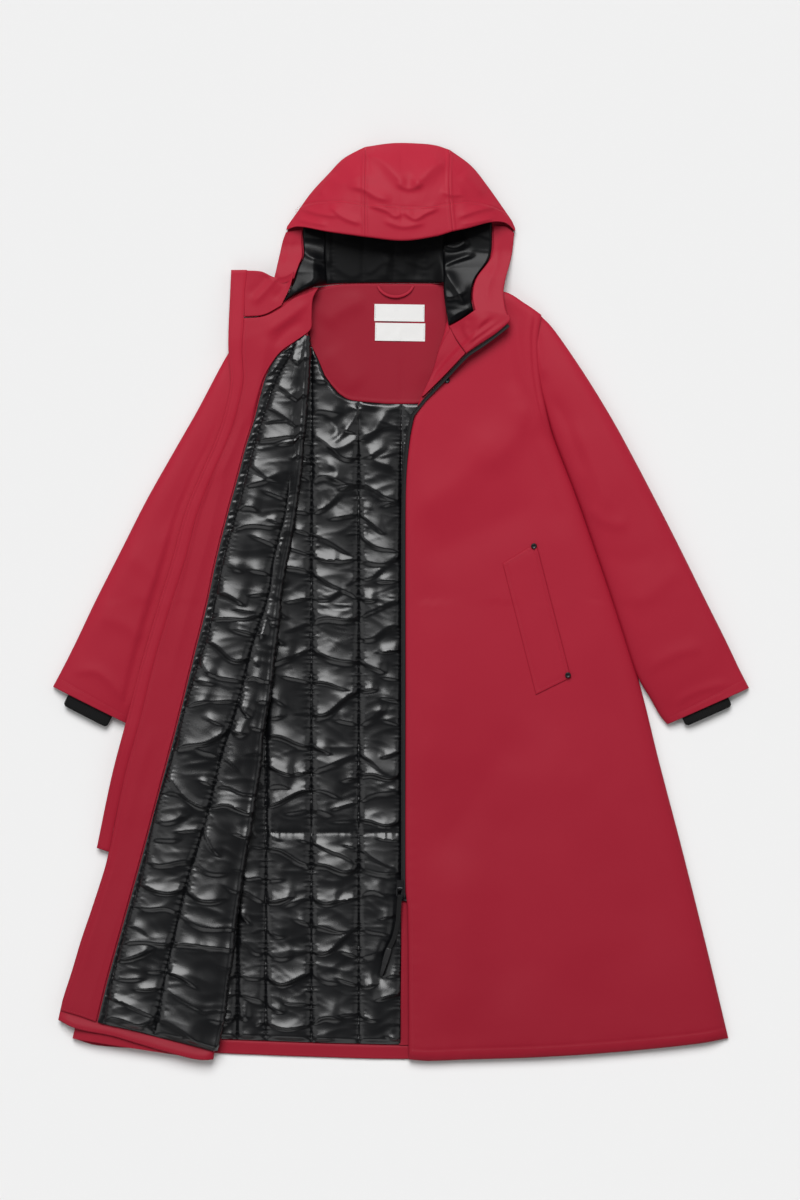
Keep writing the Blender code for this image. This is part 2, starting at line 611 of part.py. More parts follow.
def leaf_below(lower, v, nose):
    """Underside and top of the lower leaf, from the fold to the side seam."""
    side_x, side_y = lower.at(0, v)
    fold_x, fold_y = lower.at(1, v)
    width = fold_x - side_x
    step = at_height([(up_x, up_y) for up_x, up_y in LINING_LEFT], fold_y)
    step = min(max(step, side_x + 0.030), nose - 0.012)
    bottoms, tops = [], []
    for x in (nose - 0.006, (nose + step) / 2, step + 0.001, step - 0.003, (step + side_x) / 2, side_x):
        share = (x - side_x) / width
        y = lower.at(share, v)[1]
        bottoms.append((x, y, FRONT_UNDER if x > step else FRONT_LOW))
    roll = min(SIDE_ROLL, width * 0.4)
    for x in (nose - 0.014, (nose - 0.014 + side_x + roll) / 2):
        tops.append((x, lower.at((x - side_x) / width, v)[1], TURN_UNDER - TURN_SLIT))
    for share in (1.0, 0.55, 0.25, 0.08, 0.0):
        height = TURN_UNDER - TURN_SLIT - rounded(share * roll, roll, 0.0105)
        x = side_x + share * roll
        tops.append((x, lower.at(share * roll / width, v)[1], height))
    return bottoms, tops


# Left border of the visible back lining: across, up (mm).
LINING_LEFT = [(-150, 480), (-152, 380), (-167, 300), (-179, 175), (-190, 97), (-201, 40),
               (-212, -50), (-223, -140), (-234, -205), (-242, -273), (-255, -357), (-269, -441),
               (-281, -527), (-292, -621), (-292, -714)]


def right_facing():
    panel = Panel(TURN_TOP, FACING_LOW, TURN_EDGE[:-1] + [(-527, -637)], FACING_IN)
    over, under = [], []
    for v in [0.0, 0.004] + steps(8, 0.02, 0.22) + steps(17, 0.22, 1.0)[1:]:
        width = math.dist(panel.at(0, v), panel.at(1, v))
        row = [panel.at(u, v) for u in insets(width, (0.0025, 0.014), 3, (0.002,))]
        over.append([(x, y, FACING_OVER - droop(x, y)) for x, y in row])
        row = [panel.at(u, v) for u in insets(width, (0.014, 0.045), 2, ())]
        under.append([(x, y, FACING_UNDER - droop(x, y)) for x, y in row])
    wall("right_facing", over, under, RED, 0.55)


def right_lining():
    """Quilted lining of the turned front, carried round the fold."""
    edge = [(-174, 397)] + [(across + 2.4, up) for across, up in FACING_IN[5:]]
    fold = [(-139, 415)] + FOLD[4:-1] + [(-283, -699)]
    rails = Rails(edge, STITCH_1, STITCH_2, STITCH_3, fold)
    over, under = [], []
    for v in steps(40):
        lines = [rails.at(k, v) for k in range(5)]
        fold_x, fold_y = lines[4]
        chain = []
        for channel, cuts in enumerate((2, 5, 5, 3)):
            for k in range(cuts):
                x, y = rails.at(channel + k / cuts, v)
                x = min(x, fold_x - 0.0110 - 0.0004 * (15 - len(chain)))
                chain.append((x, y, turned_quilt(x, y, lines, channel, v)))
        crown = max(chain[-1][2], FACING_UNDER + 0.0035)
        middle, reach = (crown + NOSE_LOW) / 2, (crown - NOSE_LOW) / 2
        for turn in (60, 25, -10, -45, -80):
            chain.append((fold_x - 0.0085 + 0.0085 * math.cos(math.radians(turn)), fold_y,
                          middle + reach * math.sin(math.radians(turn))))
        over.append(chain)
        under.append(lining_back(lines, fold_x, fold_y))
    wall("right_lining", over, under, QUILT_BLACK, 0.32)


def lining_back(lines, fold_x, fold_y):
    """One row of the lining's inner side: over the turned leaf, then round the fold's nose."""
    (left, side_y), end = lines[0], fold_x - 0.0125
    row = []
    for inward in (0.0, 0.33, 0.67, 1.0):
        x, y = left + inward * (end - left), side_y + inward * (fold_y - side_y)
        row.append((x, y, FACING_UNDER + 0.0003 - droop(x, y)))
    radius = (TURN_OVER - FRONT_UNDER) / 2 + 0.0009
    for turn in (50, 10, -20, -45):
        row.append((fold_x - 0.0118 + radius * math.cos(math.radians(turn)), fold_y,
                    NOSE_MIDDLE + radius * math.sin(math.radians(turn))))
    return row


def turned_quilt(x, y, lines, channel, v):
    left, right = lines[channel][0], lines[channel + 1][0]
    ends = smoothstep((1.0 - v) / 0.010 + 0.2)
    rise = puff(x, y, left, right, 0.31 * channel) * ends
    low = FACING_UNDER + QUILT_STITCH
    return low + (TURN_PUFF - low) * rise - droop(x, y)


def storm_flap():
    inner = [(across - 1.8, up) for across, up in [(-239, 518), (-243, 480)] + TURN_EDGE[:15]]
    panel = Panel([(-264, 518), (-240.8, 518)], [(-474, -384), (-456.8, -390)], FLAP_EDGE, inner)
    grid = panel.grid(insets(0.021, (0.003,), 1), insets(0.98, (0.004,), 26))
    wall("storm_flap", raised(grid, lambda x, y: TURN_UNDER + 0.0045 - droop(x, y)),
         raised(grid, lambda x, y: TURN_UNDER - droop(x, y)), RED, 0.55)


def right_collar():
    panel = Panel(COLLAR_RIGHT_TOP, COLLAR_RIGHT_LOW, COLLAR_RIGHT_OUT, COLLAR_RIGHT_IN)
    grid = panel.grid(steps(8), steps(6))
    wall("right_collar", raised(grid, lambda x, y: TURN_UNDER + 0.0060 - droop(x, y)),
         raised(grid, lambda x, y: TURN_UNDER - droop(x, y)), RED, 0.55)


# ---------------------------------------------------------------- sleeves and cuffs
ACROSS = (0.0, 0.03, 0.12, 0.30, 0.50, 0.70, 0.88, 0.97, 1.0)


def sleeve(name, stations, side):
    """A flattened padded tube from the armhole to the mouth, with a slit through it."""
    armhole = Edge([(side * across, up) for across, up in BODY_SIDE[:4]])
    first = stations[0]
    outer, inner = [], []
    for index, (out, within, height) in enumerate(stations):
        points = []
        for share in ACROSS:
            bow, place = armhole.at(share), []
            for k in range(2):
                straight = first[0][k] + share * (first[1][k] - first[0][k])
                flat = out[k] + share * (within[k] - out[k])
                place.append(flat * MM + ARMHOLE_BOW[index] * (bow[k] - straight * MM))
            points.append((place[0] + side * SLEEVE_GAP, place[1]))
        outer.append(sleeve_ring(points, height * MM))
        reach = (0.60, 0.76)[index] if index < 2 else 0.88
        inner.append(slit_ring(points, height * MM, reach, index >= len(stations) - 2))
    tube(name, outer, inner, RED, 0.55)


def sleeve_top(x, y, share, height):
    """Top of the sleeve across its width. The turned front lies on the right one's inner edge."""
    top = height * (0.34 + 0.66 * math.sin(math.pi * share) ** 0.45)
    if x > 0.0:
        return top
    clear = max(0.0, at_height(FLAP_EDGE, y) - x - 0.012)
    return min(top, TURN_UNDER - 0.0014 - droop(x, y) + 0.6 * clear)


def sleeve_ring(points, height):
    top = [(x, y, sleeve_top(x, y, share, height)) for (x, y), share in zip(points, ACROSS)]
    low = [(x, y, height * 0.12 if share in (0.0, 1.0) else 0.0) for (x, y), share in zip(points, ACROSS)]
    return top + list(reversed(low))


def slit_ring(points, height, reach, mouth):
    """The way through: a narrow slit, opened at the mouth for the cuff."""
    middle = [(points[0][k] + points[-1][k]) / 2 for k in range(2)]
    above, below = [], []
    for (px, py), share in zip(points, ACROSS):
        x, y = middle[0] + reach * (px - middle[0]), middle[1] + reach * (py - middle[1])
        top = sleeve_top(x, y, 0.5 + reach * (share - 0.5), height)
        half = 0.0005 + 0.0006 * math.sin(math.pi * share)
        above.append((x, y, top - 0.0028 if mouth else top / 2 + half))
        below.append((x, y, 0.0028 if mouth else top / 2 - half))
    return above + list(reversed(below))


def cuff(name, outer_side, inner_side, along, side):
    """A rib tube that comes out of the sleeve's mouth."""
    outer, inner = [], []
    for reach in along:
        outer.append(cuff_ring(outer_side, inner_side, side, reach, 0.50, 0.0046))
        inner.append(cuff_ring(outer_side, inner_side, side, reach, 0.46, 0.0018))
    tube(name, outer, inner, RIB_BLACK, 0.85)


def cuff_ring(outer_side, inner_side, side, reach, half_width, half_height):
    ring = []
    for turn in steps(16, 0.0, 2 * math.pi)[:-1]:
        share = 0.5 + half_width * math.cos(turn)
        x, y = ((outer_side[k] + share * (inner_side[k] - outer_side[k])) * MM for k in range(2))
        bulge = math.copysign(abs(math.sin(turn)) ** 0.5, math.sin(turn))
        ring.append((x + side * 0.45 * reach, y - 0.893 * reach, CUFF_MIDDLE + half_height * bulge))
    return ring


# ---------------------------------------------------------------- hood
def hood_panel(name, top, low, left, right, columns):
    panel = Panel(top, low, left, right)
    over, under = [], []
    for v in insets(0.12, (0.0015, 0.006, 0.014), 5, (0.004, 0.040)):
        points = [panel.at(u, v) for u in steps(columns)]
        over.append([(x, y, hood_top(x, y)) for x, y in points])
        under.append([(x, y, max(LINING_UNDER + 0.0002, hood_top(x, y) - HOOD_WALL)) for x, y in points])
    wall(name, over, under, RED, 0.55)


def hood_back():
    panel = Panel(HOOD_BACK_TOP, HOOD_BACK_LOW, HOOD_BACK_RIGHT, HOOD_BACK_LEFT)
    over = raised(panel.grid(steps(14), steps(5)), lambda x, y: SHELL)
    slab("hood_back", over, 0.0, RED, 0.55)


def hood_lining(name, top, low, left, right, columns):
    """One panel of the hood's quilted lining. Its sides climb to the fronts."""
    panel = Panel(top, low, left, right)

    def under(x, y):
        return LINING_UNDER + neck_lift(x, y)

    def over(x, y):
        return under(x, y) + 0.0032 + 0.0016 * math.sin(math.pi * (x + 0.010) / 0.048) ** 2
    wall(name, raised(panel.grid(steps(columns), steps(11)), over),
         raised(panel.grid(steps(columns // 2), steps(11)), under), QUILT_BLACK, 0.32)


def hood_band(name, top, low, left, right):
    panel = Panel(top, low, left, right)
    grid = panel.grid(steps(4), steps(8))

    def under(x, y):
        return LINING_UNDER + neck_lift(x, y)
    wall(name, raised(grid, lambda x, y: under(x, y) + 0.0045), raised(grid, under), RED, 0.55)


# ---------------------------------------------------------------- zip, snaps, labels and loop
def zip_tape():
    """Runs up the front's edge, turns over at the roll and follows the lapel's edge."""
    path = [(0.0044, y, 0.0130) for y in steps(6, -0.461, 0.235)]
    path += [(0.0044, 0.250, 0.0150), (0.0050, 0.262, 0.0188), (0.0100, 0.277, 0.0198)]
    line = Edge(list(reversed(LAPEL_ZIP)))
    for fraction in steps(11):
        x, y = line.at(fraction)
        before, after = line.at(fraction - 0.02), line.at(fraction + 0.02)
        run = math.dist(before, after)
        height = FRONT_OVER + 0.0022 + lapel_lift(x, y)
        out_x, out_y = (after[1] - before[1]) / run, -(after[0] - before[0]) / run
        path.append((x + 0.0048 * out_x, y + 0.0048 * out_y, height))
    ribbon("zip_tape", path, 0.0062, 0.0016, RIB_BLACK, 0.7)


def zip_slider():
    """Two plates joined by a post, with a ring on top that holds the pull's bar."""
    x, y, z = HINGE
    plate = box("zip_slider", (0.0105, 0.0160, 0.0013), (x, y + 0.0040, 0.0153), 0.0, METAL_BLACK, 0.35, 0.9,
                0.0004)
    plate.modifiers.clear()
    parts = [part_box("slider_base", (0.0105, 0.0160, 0.0013), (x, y + 0.0040, 0.0107)),
             part_box("slider_post", (0.0030, 0.0070, 0.0050), (x, y + 0.0065, 0.0130)),
             part_tube("slider_ring", RING_RADIUS, 0.0044)]
    for part in parts:
        join = plate.modifiers.new(part.name, "BOOLEAN")
        join.operation, join.object, join.solver = "UNION", part, "EXACT"
    bore = plate.modifiers.new("bore", "BOOLEAN")
    bore.operation, bore.object, bore.solver = "DIFFERENCE", part_tube("slider_bore", BORE_RADIUS, 0.0100), "EXACT"


def part_box(name, size, place):
    bpy.ops.mesh.primitive_cube_add(size=1.0, location=place)
    return to_cutters(name, size)


def part_tube(name, radius, width):
    bpy.ops.mesh.primitive_cylinder_add(vertices=24, radius=radius, depth=width, location=HINGE,
                                        rotation=(0.0, math.pi / 2, 0.0))
    return to_cutters(name, (1.0, 1.0, 1.0))


def to_cutters(name, size):
    piece = bpy.context.object
    piece.name = name
    piece.scale = size
    piece.hide_render = True
    piece.display_type = "WIRE"
    for owner in list(piece.users_collection):
        owner.objects.unlink(piece)
    cutters.objects.link(piece)
    return piece


def zip_pull():
    """A wire loop through the slider's ring, a folded ribbon on it and a moulded tip."""
    x, y, z = HINGE
    half, length = LOOP_WIDTH / 2, LOOP_LENGTH
    rounded_corners = [(half - 0.0012, 0.0), (half, -0.0012), (half, -length + 0.0012), (half - 0.0012, -length)]
    path = [(x + a, y + b, z) for a, b in rounded_corners]
    path += [(x - a, y + b, z) for a, b in reversed(rounded_corners)]
    loop = wire("zip_pull_loop", path, WIRE_RADIUS, METAL_BLACK)
    end = y - length
    centre = [(x, end + 0.0006), (x, end - 0.0020), (-0.0025, -0.480), (-0.0042, -0.500), (-0.0095, -0.523),
              (-0.0172, -0.5395)]
    heights = (z, z - 0.0002, 0.0148, 0.0125, 0.0117, 0.0117)
    band = folded_ribbon(centre, heights)
    tip = pull_tip()
    for piece in (loop, band, tip):
        set_origin(piece, HINGE)
    band.parent = tip.parent = loop
    band.matrix_parent_inverse = tip.matrix_parent_inverse = loop.matrix_world.inverted()


def set_origin(piece, place):
    piece.data.transform(Matrix.Translation([-value for value in place]))
    piece.matrix_world = Matrix.Translation(place)


def wire(name, path, radius, color):
    """A round wire bent along a closed level path."""
    builder = bmesh.new()
    rings = []
    for index, (x, y, z) in enumerate(path):
        before, after = path[index - 1], path[(index + 1) % len(path)]
        run = math.hypot(after[0] - before[0], after[1] - before[1])
        side = (-(after[1] - before[1]) / run, (after[0] - before[0]) / run)
        rings.append([builder.verts.new((x + radius * math.cos(turn) * side[0],
                                         y + radius * math.cos(turn) * side[1],
                                         z + radius * math.sin(turn)))
                      for turn in steps(8, 0.0, 2 * math.pi)[:-1]])
    strip_faces(builder, rings + rings[:1], True)
    return finish(name, builder, color, 0.35, 0.9)


def folded_ribbon(centre, heights):
    """A ribbon doubled round the loop's end, its two layers sewn as one below it."""
    (x, y), z = centre[0], heights[0]
    bore, thick = WIRE_RADIUS + GAP, 0.0009
    outline, hole = [], []
    for turn in steps(6, 0.0, math.pi):
        outline.append((y + (bore + thick) * math.sin(turn) - 0.0006, z + (bore + thick) * math.cos(turn)))
    for turn in steps(8, 0.0, 2 * math.pi)[:-1]:
        hole.append((y + bore * math.sin(turn) - 0.0006, z + bore * math.cos(turn)))
    builder = bmesh.new()
    sides = []
    for side in (-1, 1):
        edge = [builder.verts.new((x + side * RIBBON_WIDTH / 2, a, b)) for a, b in outline]
        way = [builder.verts.new((x + side * RIBBON_WIDTH / 2, a, b)) for a, b in hole]
        tail = [[], []]
        for index, ((cx, cy), height) in enumerate(zip(centre[1:], heights[1:]), 1):
            before, after = centre[index - 1], centre[min(index + 1, len(centre) - 1)]
            run = math.dist(before, after)
            across = (-(after[1] - before[1]) / run, (after[0] - before[0]) / run)
            half = (RIBBON_WIDTH if index > 1 else RIBBON_WIDTH) / 2
            for layer, offset in ((0, 0.0009), (1, -0.0009)):
                tail[layer].append(builder.verts.new((cx + side * half * abs(across[0]),
                                                      cy + side * half * across[1] * math.copysign(1, across[0]),
                                                      height + offset)))
        sides.append((edge, way, tail))
    for edge, way, tail in sides:
        builder.faces.new([edge[0], tail[0][0], tail[1][0], edge[-1]] + way[4:] + way[:1])
        builder.faces.new(edge + way[4::-1])
        strip_faces(builder, [tail[0], tail[1]], False)
    (edge_a, way_a, tail_a), (edge_b, way_b, tail_b) = sides
    strip_faces(builder, [edge_a, edge_b], False)
    strip_faces(builder, [way_a, way_b], True)
    strip_faces(builder, [[edge_a[0]] + tail_a[0], [edge_b[0]] + tail_b[0]], False)
    strip_faces(builder, [[edge_a[-1]] + tail_a[1], [edge_b[-1]] + tail_b[1]], False)
    builder.faces.new((tail_a[0][-1], tail_b[0][-1], tail_b[1][-1], tail_a[1][-1]))
    return finish("zip_pull_ribbon", builder, QUILT_BLACK, 0.6)


def pull_tip():
    """A moulded tab that tapers to a round end."""
    start, end = (-0.0175, -0.5402), (-0.0305, -0.5840)
    run = math.dist(start, end)
    ahead = ((end[0] - start[0]) / run, (end[1] - start[1]) / run)
    over, under = [], []
    for along, width, height in PULL_TIP:
        x, y = start[0] + ahead[0] * along * MM, start[1] + ahead[1] * along * MM
        for chain, z in ((over, 0.0117 + height * MM / 2), (under, 0.0117 - height * MM / 2)):
            chain.append([(x - ahead[1] * place * width * MM / 2, y + ahead[0] * place * width * MM / 2, z)
                          for place in (-1.0, -0.8, 0.8, 1.0)])
            if chain is over:
                chain[-1] = [(a, b, z - (0.0006 if k in (0, 3) else 0.0)) for k, (a, b, _) in enumerate(chain[-1])]
            else:
                chain[-1] = [(a, b, z + (0.0006 if k in (0, 3) else 0.0)) for k, (a, b, _) in enumerate(chain[-1])]
    return wall("zip_pull_tip", over, under, RIB_BLACK, 0.45)


def box(name, size, place, turn, color, roughness, metallic, bevel):
    bpy.ops.mesh.primitive_cube_add(size=1.0, location=place, rotation=(0.0, 0.0, turn))
    piece = bpy.context.object
    piece.name = name
    piece.scale = size
    bpy.ops.object.transform_apply(location=False, rotation=False, scale=True)
    rounding = piece.modifiers.new("rounding", "BEVEL")
    rounding.width = bevel
    rounding.segments = 1
    move_to_coat(piece)
    return paint(piece, color, roughness, metallic)


def move_to_coat(piece):
    for owner in list(piece.users_collection):
        owner.objects.unlink(piece)
    coat.objects.link(piece)


def snap(name, place, radius=0.0046):
    """A press stud's cap: a turned profile."""
    mesh = bpy.data.meshes.new(name)
    profile = [(0.0, 0.0022), (0.55, 0.0021), (0.85, 0.0015), (1.0, 0.0008), (1.0, 0.0), (0.0, 0.0)]
    builder = bmesh.new()
    verts = [builder.verts.new((radius * out, 0.0, up)) for out, up in profile]
    for one, two in zip(verts, verts[1:]):
        builder.edges.new((one, two))
    builder.to_mesh(mesh)
    builder.free()
    piece = bpy.data.objects.new(name, mesh)
    coat.objects.link(piece)
    piece.location = place
    turn = piece.modifiers.new("turn", "SCREW")
    turn.steps = turn.render_steps = 12
    turn.use_merge_vertices = True
    turn.merge_threshold = 0.00005
    return paint(piece, METAL_BLACK, 0.3, 0.8)


def pocket_welt():
    panel = Panel([POCKET_IN[0], POCKET_OUT[0]], [POCKET_IN[1], POCKET_OUT[1]], POCKET_IN, POCKET_OUT)
    grid = panel.grid(insets(0.055, (0.003,), 2), insets(0.21, (0.003,), 4))
    top = FRONT_OVER + GAP
    wall("pocket_welt", raised(grid, lambda x, y: top + 0.0014), raised(grid, lambda x, y: top), RED, 0.55)


def labels():
    height = LINING_UNDER + YOKE + GAP
    box("neck_label", (0.078, 0.0265, 0.0008), (-0.0015, 0.4515, height + 0.0004), -0.015,
        LABEL_WHITE, 0.7, 0.0, 0.0001)
    box("size_label", (0.078, 0.0280, 0.0006), (-0.0005, 0.4215, height + 0.0003), -0.015,
        LABEL_WHITE, 0.7, 0.0, 0.0001)


def hanger_loop():
    height = LINING_UNDER + YOKE + GAP
    path = []
    for turn in steps(12, 200, 340):
        angle = math.radians(turn)
        path.append((-0.0075 + 0.0285 * math.cos(angle), 0.5000 + 0.0235 * math.sin(angle),
                     height + 0.0010))
    ribbon("hanger_loop", path, 0.0042, 0.0016, DEEP_RED, 0.55)


# ---------------------------------------------------------------- build
for item in list(bpy.data.objects):
    bpy.data.objects.remove(item, do_unlink=True)
coat = bpy.data.collections.new("raincoat")
bpy.context.scene.collection.children.link(coat)
cutters = bpy.data.collections.new("cutters")
bpy.context.scene.collection.children.link(cutters)

back_shell()
back_yoke()
back_lining()
vent_facing()
left_front()
lapel()
left_collar()
right_front()
right_facing()
right_lining()
storm_flap()
right_collar()
sleeve("left_sleeve", LEFT_SLEEVE, 1)
sleeve("right_sleeve", RIGHT_SLEEVE, -1)
cuff("left_cuff", (511, -149), (440, -181), (-0.020, -0.006, 0.0115), 1)
cuff("right_cuff", (-516, -147), (-449, -181), (-0.018, 0.000, 0.0140), -1)
hood_back()
hood_panel("hood_right", HOOD_TOP_RIGHT, BRIM_RIGHT, [(-177, 586), (-178, 581)], CROWN_SEAM_RIGHT, 10)
hood_panel("hood_middle", HOOD_TOP_MIDDLE, BRIM_MIDDLE,
           [(across + 1, up) for across, up in CROWN_SEAM_RIGHT], CROWN_SEAM_LEFT, 8)
hood_panel("hood_left", HOOD_TOP_LEFT, BRIM_LEFT, [(across + 1, up) for across, up in CROWN_SEAM_LEFT],
           [(179, 584), (179, 579)], 10)
hood_lining("hood_lining_right", [(-152, 592), (-117, 600)], TAIL_RIGHT_LOW, TAIL_RIGHT_OUT, TAIL_RIGHT_IN, 6)
hood_lining("hood_lining_middle", [(-116, 640), (-30, 670), (66, 650)],
            [(-113.3, 497.5), (-93, 498), (-1, 499), (66, 498)],
            [(-116, 640), (-116, 540), (-113.3, 497.5)], [(66, 650), (65.3, 549), (66, 498)], 16)
hood_lining("hood_lining_left", [(67, 600), (143, 600)], TAIL_LEFT_LOW, TAIL_LEFT_IN, TAIL_LEFT_OUT, 8)
hood_band("hood_facing_right", [(-179, 577), (-165, 580), (-153, 581)], BAND_RIGHT_LOW,
          BAND_RIGHT_OUT, BAND_RIGHT_IN)
hood_band("hood_facing_left", [(145, 587), (164, 586), (178, 576)], BAND_LEFT_LOW,
          BAND_LEFT_IN, BAND_LEFT_OUT)
zip_tape()
zip_slider()
zip_pull()
pocket_welt()
snap("pocket_snap_upper", (0.208, 0.087, FRONT_OVER + GAP + 0.0014 + GAP))
snap("pocket_snap_lower", (0.261, -0.114, FRONT_OVER + GAP + 0.0014 + GAP))
snap("front_snap", (0.071, 0.348, FRONT_OVER + GAP))
labels()
hanger_loop()
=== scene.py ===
# %% [markdown]
# # A long hooded raincoat, laid open
# The coat lies on its back, with one front closed and the other folded back to show its quilted
# lining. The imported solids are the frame. Each plain solid is replaced by cloth with its folds,
# sewing and weave, in the same place and in metres.

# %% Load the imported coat
import math

import bmesh
import bpy
import numpy as np
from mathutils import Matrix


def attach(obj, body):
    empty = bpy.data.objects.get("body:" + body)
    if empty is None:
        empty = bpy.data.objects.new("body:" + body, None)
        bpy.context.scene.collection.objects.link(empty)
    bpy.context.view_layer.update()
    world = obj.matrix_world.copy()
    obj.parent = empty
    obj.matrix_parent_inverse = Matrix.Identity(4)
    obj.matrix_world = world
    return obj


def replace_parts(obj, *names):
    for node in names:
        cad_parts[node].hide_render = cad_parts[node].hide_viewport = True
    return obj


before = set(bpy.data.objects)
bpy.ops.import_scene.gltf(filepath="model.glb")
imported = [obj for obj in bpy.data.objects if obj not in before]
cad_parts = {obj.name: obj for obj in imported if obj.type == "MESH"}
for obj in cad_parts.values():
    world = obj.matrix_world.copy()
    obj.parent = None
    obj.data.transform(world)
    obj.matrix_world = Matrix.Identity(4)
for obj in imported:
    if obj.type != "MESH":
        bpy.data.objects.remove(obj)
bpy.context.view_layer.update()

MM = 0.001

# %% [markdown]
# ## Camera
# The photograph looks straight down on the coat. A long lens from six metres up keeps the outline
# nearly free of perspective, as in a product picture taken from a gantry.

# %% Camera
FRAME_HEIGHT = 1.872
CAMERA_UP = 6.0
scene = bpy.context.scene
camera = bpy.data.objects.new("camera", bpy.data.cameras.new("camera"))
scene.collection.objects.link(camera)
camera.location = (-0.0006, 0.0031, CAMERA_UP)
camera.data.sensor_width = 36.0
camera.data.lens = 36.0 * (CAMERA_UP - 0.012) / FRAME_HEIGHT
camera.data.clip_end = 40.0
scene.camera = camera
print("lens in mm:", round(camera.data.lens, 1))

# %% [markdown]
# ## Light
# A wide soft lamp stands beyond the hood, so that every puff of the glossy lining shows a bright
# band on its upper side and the hem throws a soft shadow. Weaker lamps fill in from the hem and the
# sides. All are far away, so the floor is evenly bright.

# %% Light
def soft_lamp(name, zenith, azimuth, power, spread_angle, gloss=1.0):
    """A distant lamp: degrees away from straight up, degrees round from +X, and its apparent size."""
    light = bpy.data.lights.new(name, "SUN")
    light.energy, light.angle, light.specular_factor = power, math.radians(spread_angle), gloss
    lamp = bpy.data.objects.new(name, light)
    scene.collection.objects.link(lamp)
    lamp.location = (0.0, 0.0, 2.0)
    lamp.rotation_euler = (0.0, math.radians(zenith), math.radians(azimuth))


soft_lamp("key_lamp", 37.0, 97.0, 3.03, 38.0)
soft_lamp("hem_fill", 55.0, 262.0, 0.42, 40.0, 0.4)
soft_lamp("wearer_right_fill", 50.0, 180.0, 0.50, 50.0, 0.3)
soft_lamp("wearer_left_fill", 55.0, 10.0, 0.34, 50.0, 0.3)
world = bpy.data.worlds.new("studio")
world.use_nodes = True
world.node_tree.nodes["Background"].inputs["Color"].default_value = (1.0, 1.0, 1.0, 1.0)
world.node_tree.nodes["Background"].inputs["Strength"].default_value = 0.08
scene.world = world
scene.view_settings.view_transform = "Standard"

# %% [markdown]
# ## Shader maths
# A material's look is a short sum of noise, bands and masks. Written as sockets with operators it
# reads like arithmetic: each operator adds the Math node that it stands for.

# %% A socket with operators, and a finish that holds its nodes
class Value:
    def __init__(self, finish, socket):
        self.finish, self.socket = finish, socket

    def math(self, operation, *others):
        inputs = {index + 1: other for index, other in enumerate(others)}
        return self.finish.node("ShaderNodeMath", {"operation": operation}, {0: self, **inputs})

    def __add__(self, other):
        return self.math("ADD", other)

    __radd__ = __add__

    def __mul__(self, other):
        return self.math("MULTIPLY", other)

    __rmul__ = __mul__

class Finish:
    """A material: its Principled shader, and a method that makes any other node."""

    def __init__(self, name, color, roughness, **sockets):
        self.material = bpy.data.materials.new(name)
        self.material.use_nodes = True
        self.tree = self.material.node_tree
        self.shader = self.tree.nodes["Principled BSDF"]
        self.shader.inputs["Base Color"].default_value = (*color, 1.0)
        self.shader.inputs["Roughness"].default_value = roughness
        for socket, value in sockets.items():
            self.shader.inputs[socket.replace("_", " ")].default_value = value

    def node(self, kind, settings, inputs, output=0):
        node = self.tree.nodes.new(kind)
        for name, value in settings.items():
            setattr(node, name, value)
        for key, value in inputs.items():
            if isinstance(value, Value):
                self.tree.links.new(value.socket, node.inputs[key])
            else:
                node.inputs[key].default_value = value
        return Value(self, node.outputs[output])

    def place(self):
        return self.node("ShaderNodeTexCoord", {}, {}, "Object")

    def noise(self, scale, detail=2.0, stretch=(1.0, 1.0, 1.0)):
        place = self.node("ShaderNodeMapping", {}, {"Vector": self.place(), "Scale": stretch})
        return self.node("ShaderNodeTexNoise", {}, {"Vector": place, "Scale": scale, "Detail": detail})

    def bands(self, scale, direction):
        return self.node("ShaderNodeTexWave", {"bands_direction": direction},
                         {"Vector": self.place(), "Scale": scale, "Distortion": 0.4, "Detail": 0.0})

    def tint(self, factor, first, second):
        return self.node("ShaderNodeMix", {"data_type": "RGBA"},
                         {0: factor, 6: (*first, 1.0), 7: (*second, 1.0)}, 2)

    def drive(self, socket, value):
        self.tree.links.new(value.socket, self.shader.inputs[socket])

    def bump(self, height, strength, distance):
        normal = self.node("ShaderNodeBump", {}, {"Height": height, "Strength": strength, "Distance": distance})
        self.drive("Normal", normal)


# %% [markdown]
# ## Finishes
# The shell is a matte waterproof cloth: a tight plain weave, barely uneven in colour, whose fibres
# catch a little light at a slant. The lining is a thin black satin that shines. Rib knit, zip tape,
# ribbon and the small metal pieces are darker and quieter than both.

# %% Finishes of the shell and of the lining
def shell_finish(name, shaded_hem_color, lit_hood_color):
    """Matte cloth with painted shade: darker toward the hem and lighter toward the hood, as light falls off
    from the hood, and barely uneven at random.
    """
    finish = Finish(name, lit_hood_color, 0.50, Specular_IOR_Level=0.14)
    uneven = finish.noise(5.0, 3.0)
    grain = finish.noise(900.0, 1.0)
    # Painted shade: the height up the coat mixes the colour from the darker hem end to the lighter hood end,
    # for light that falls off away from the hood.
    painted_falloff = finish.node("ShaderNodeSeparateXYZ", {}, {"Vector": finish.place()}, "Y") * 0.72 + 0.5
    finish.drive("Base Color", finish.tint(painted_falloff * 0.78 + uneven * 0.14 + grain * 0.08, shaded_hem_color, lit_hood_color))
    finish.drive("Roughness", 0.46 + uneven * 0.10)
    weave = finish.bands(430.0, "X") * finish.bands(430.0, "Y")
    finish.bump(weave * 0.6 + grain * 0.4, 0.22, 0.0003)
    return finish


def satin_finish(name, color, roughness, shine=0.56):
    """Thin shiny cloth, barely uneven in its gloss."""
    finish = Finish(name, color, roughness, Specular_IOR_Level=shine)
    uneven = finish.noise(14.0, 2.0)
    fine = finish.noise(260.0, 2.0, (1.0, 0.35, 1.0))
    finish.drive("Roughness", (roughness - 0.05) + uneven * 0.10)
    finish.bump(fine, 0.07, 0.0004)
    return finish
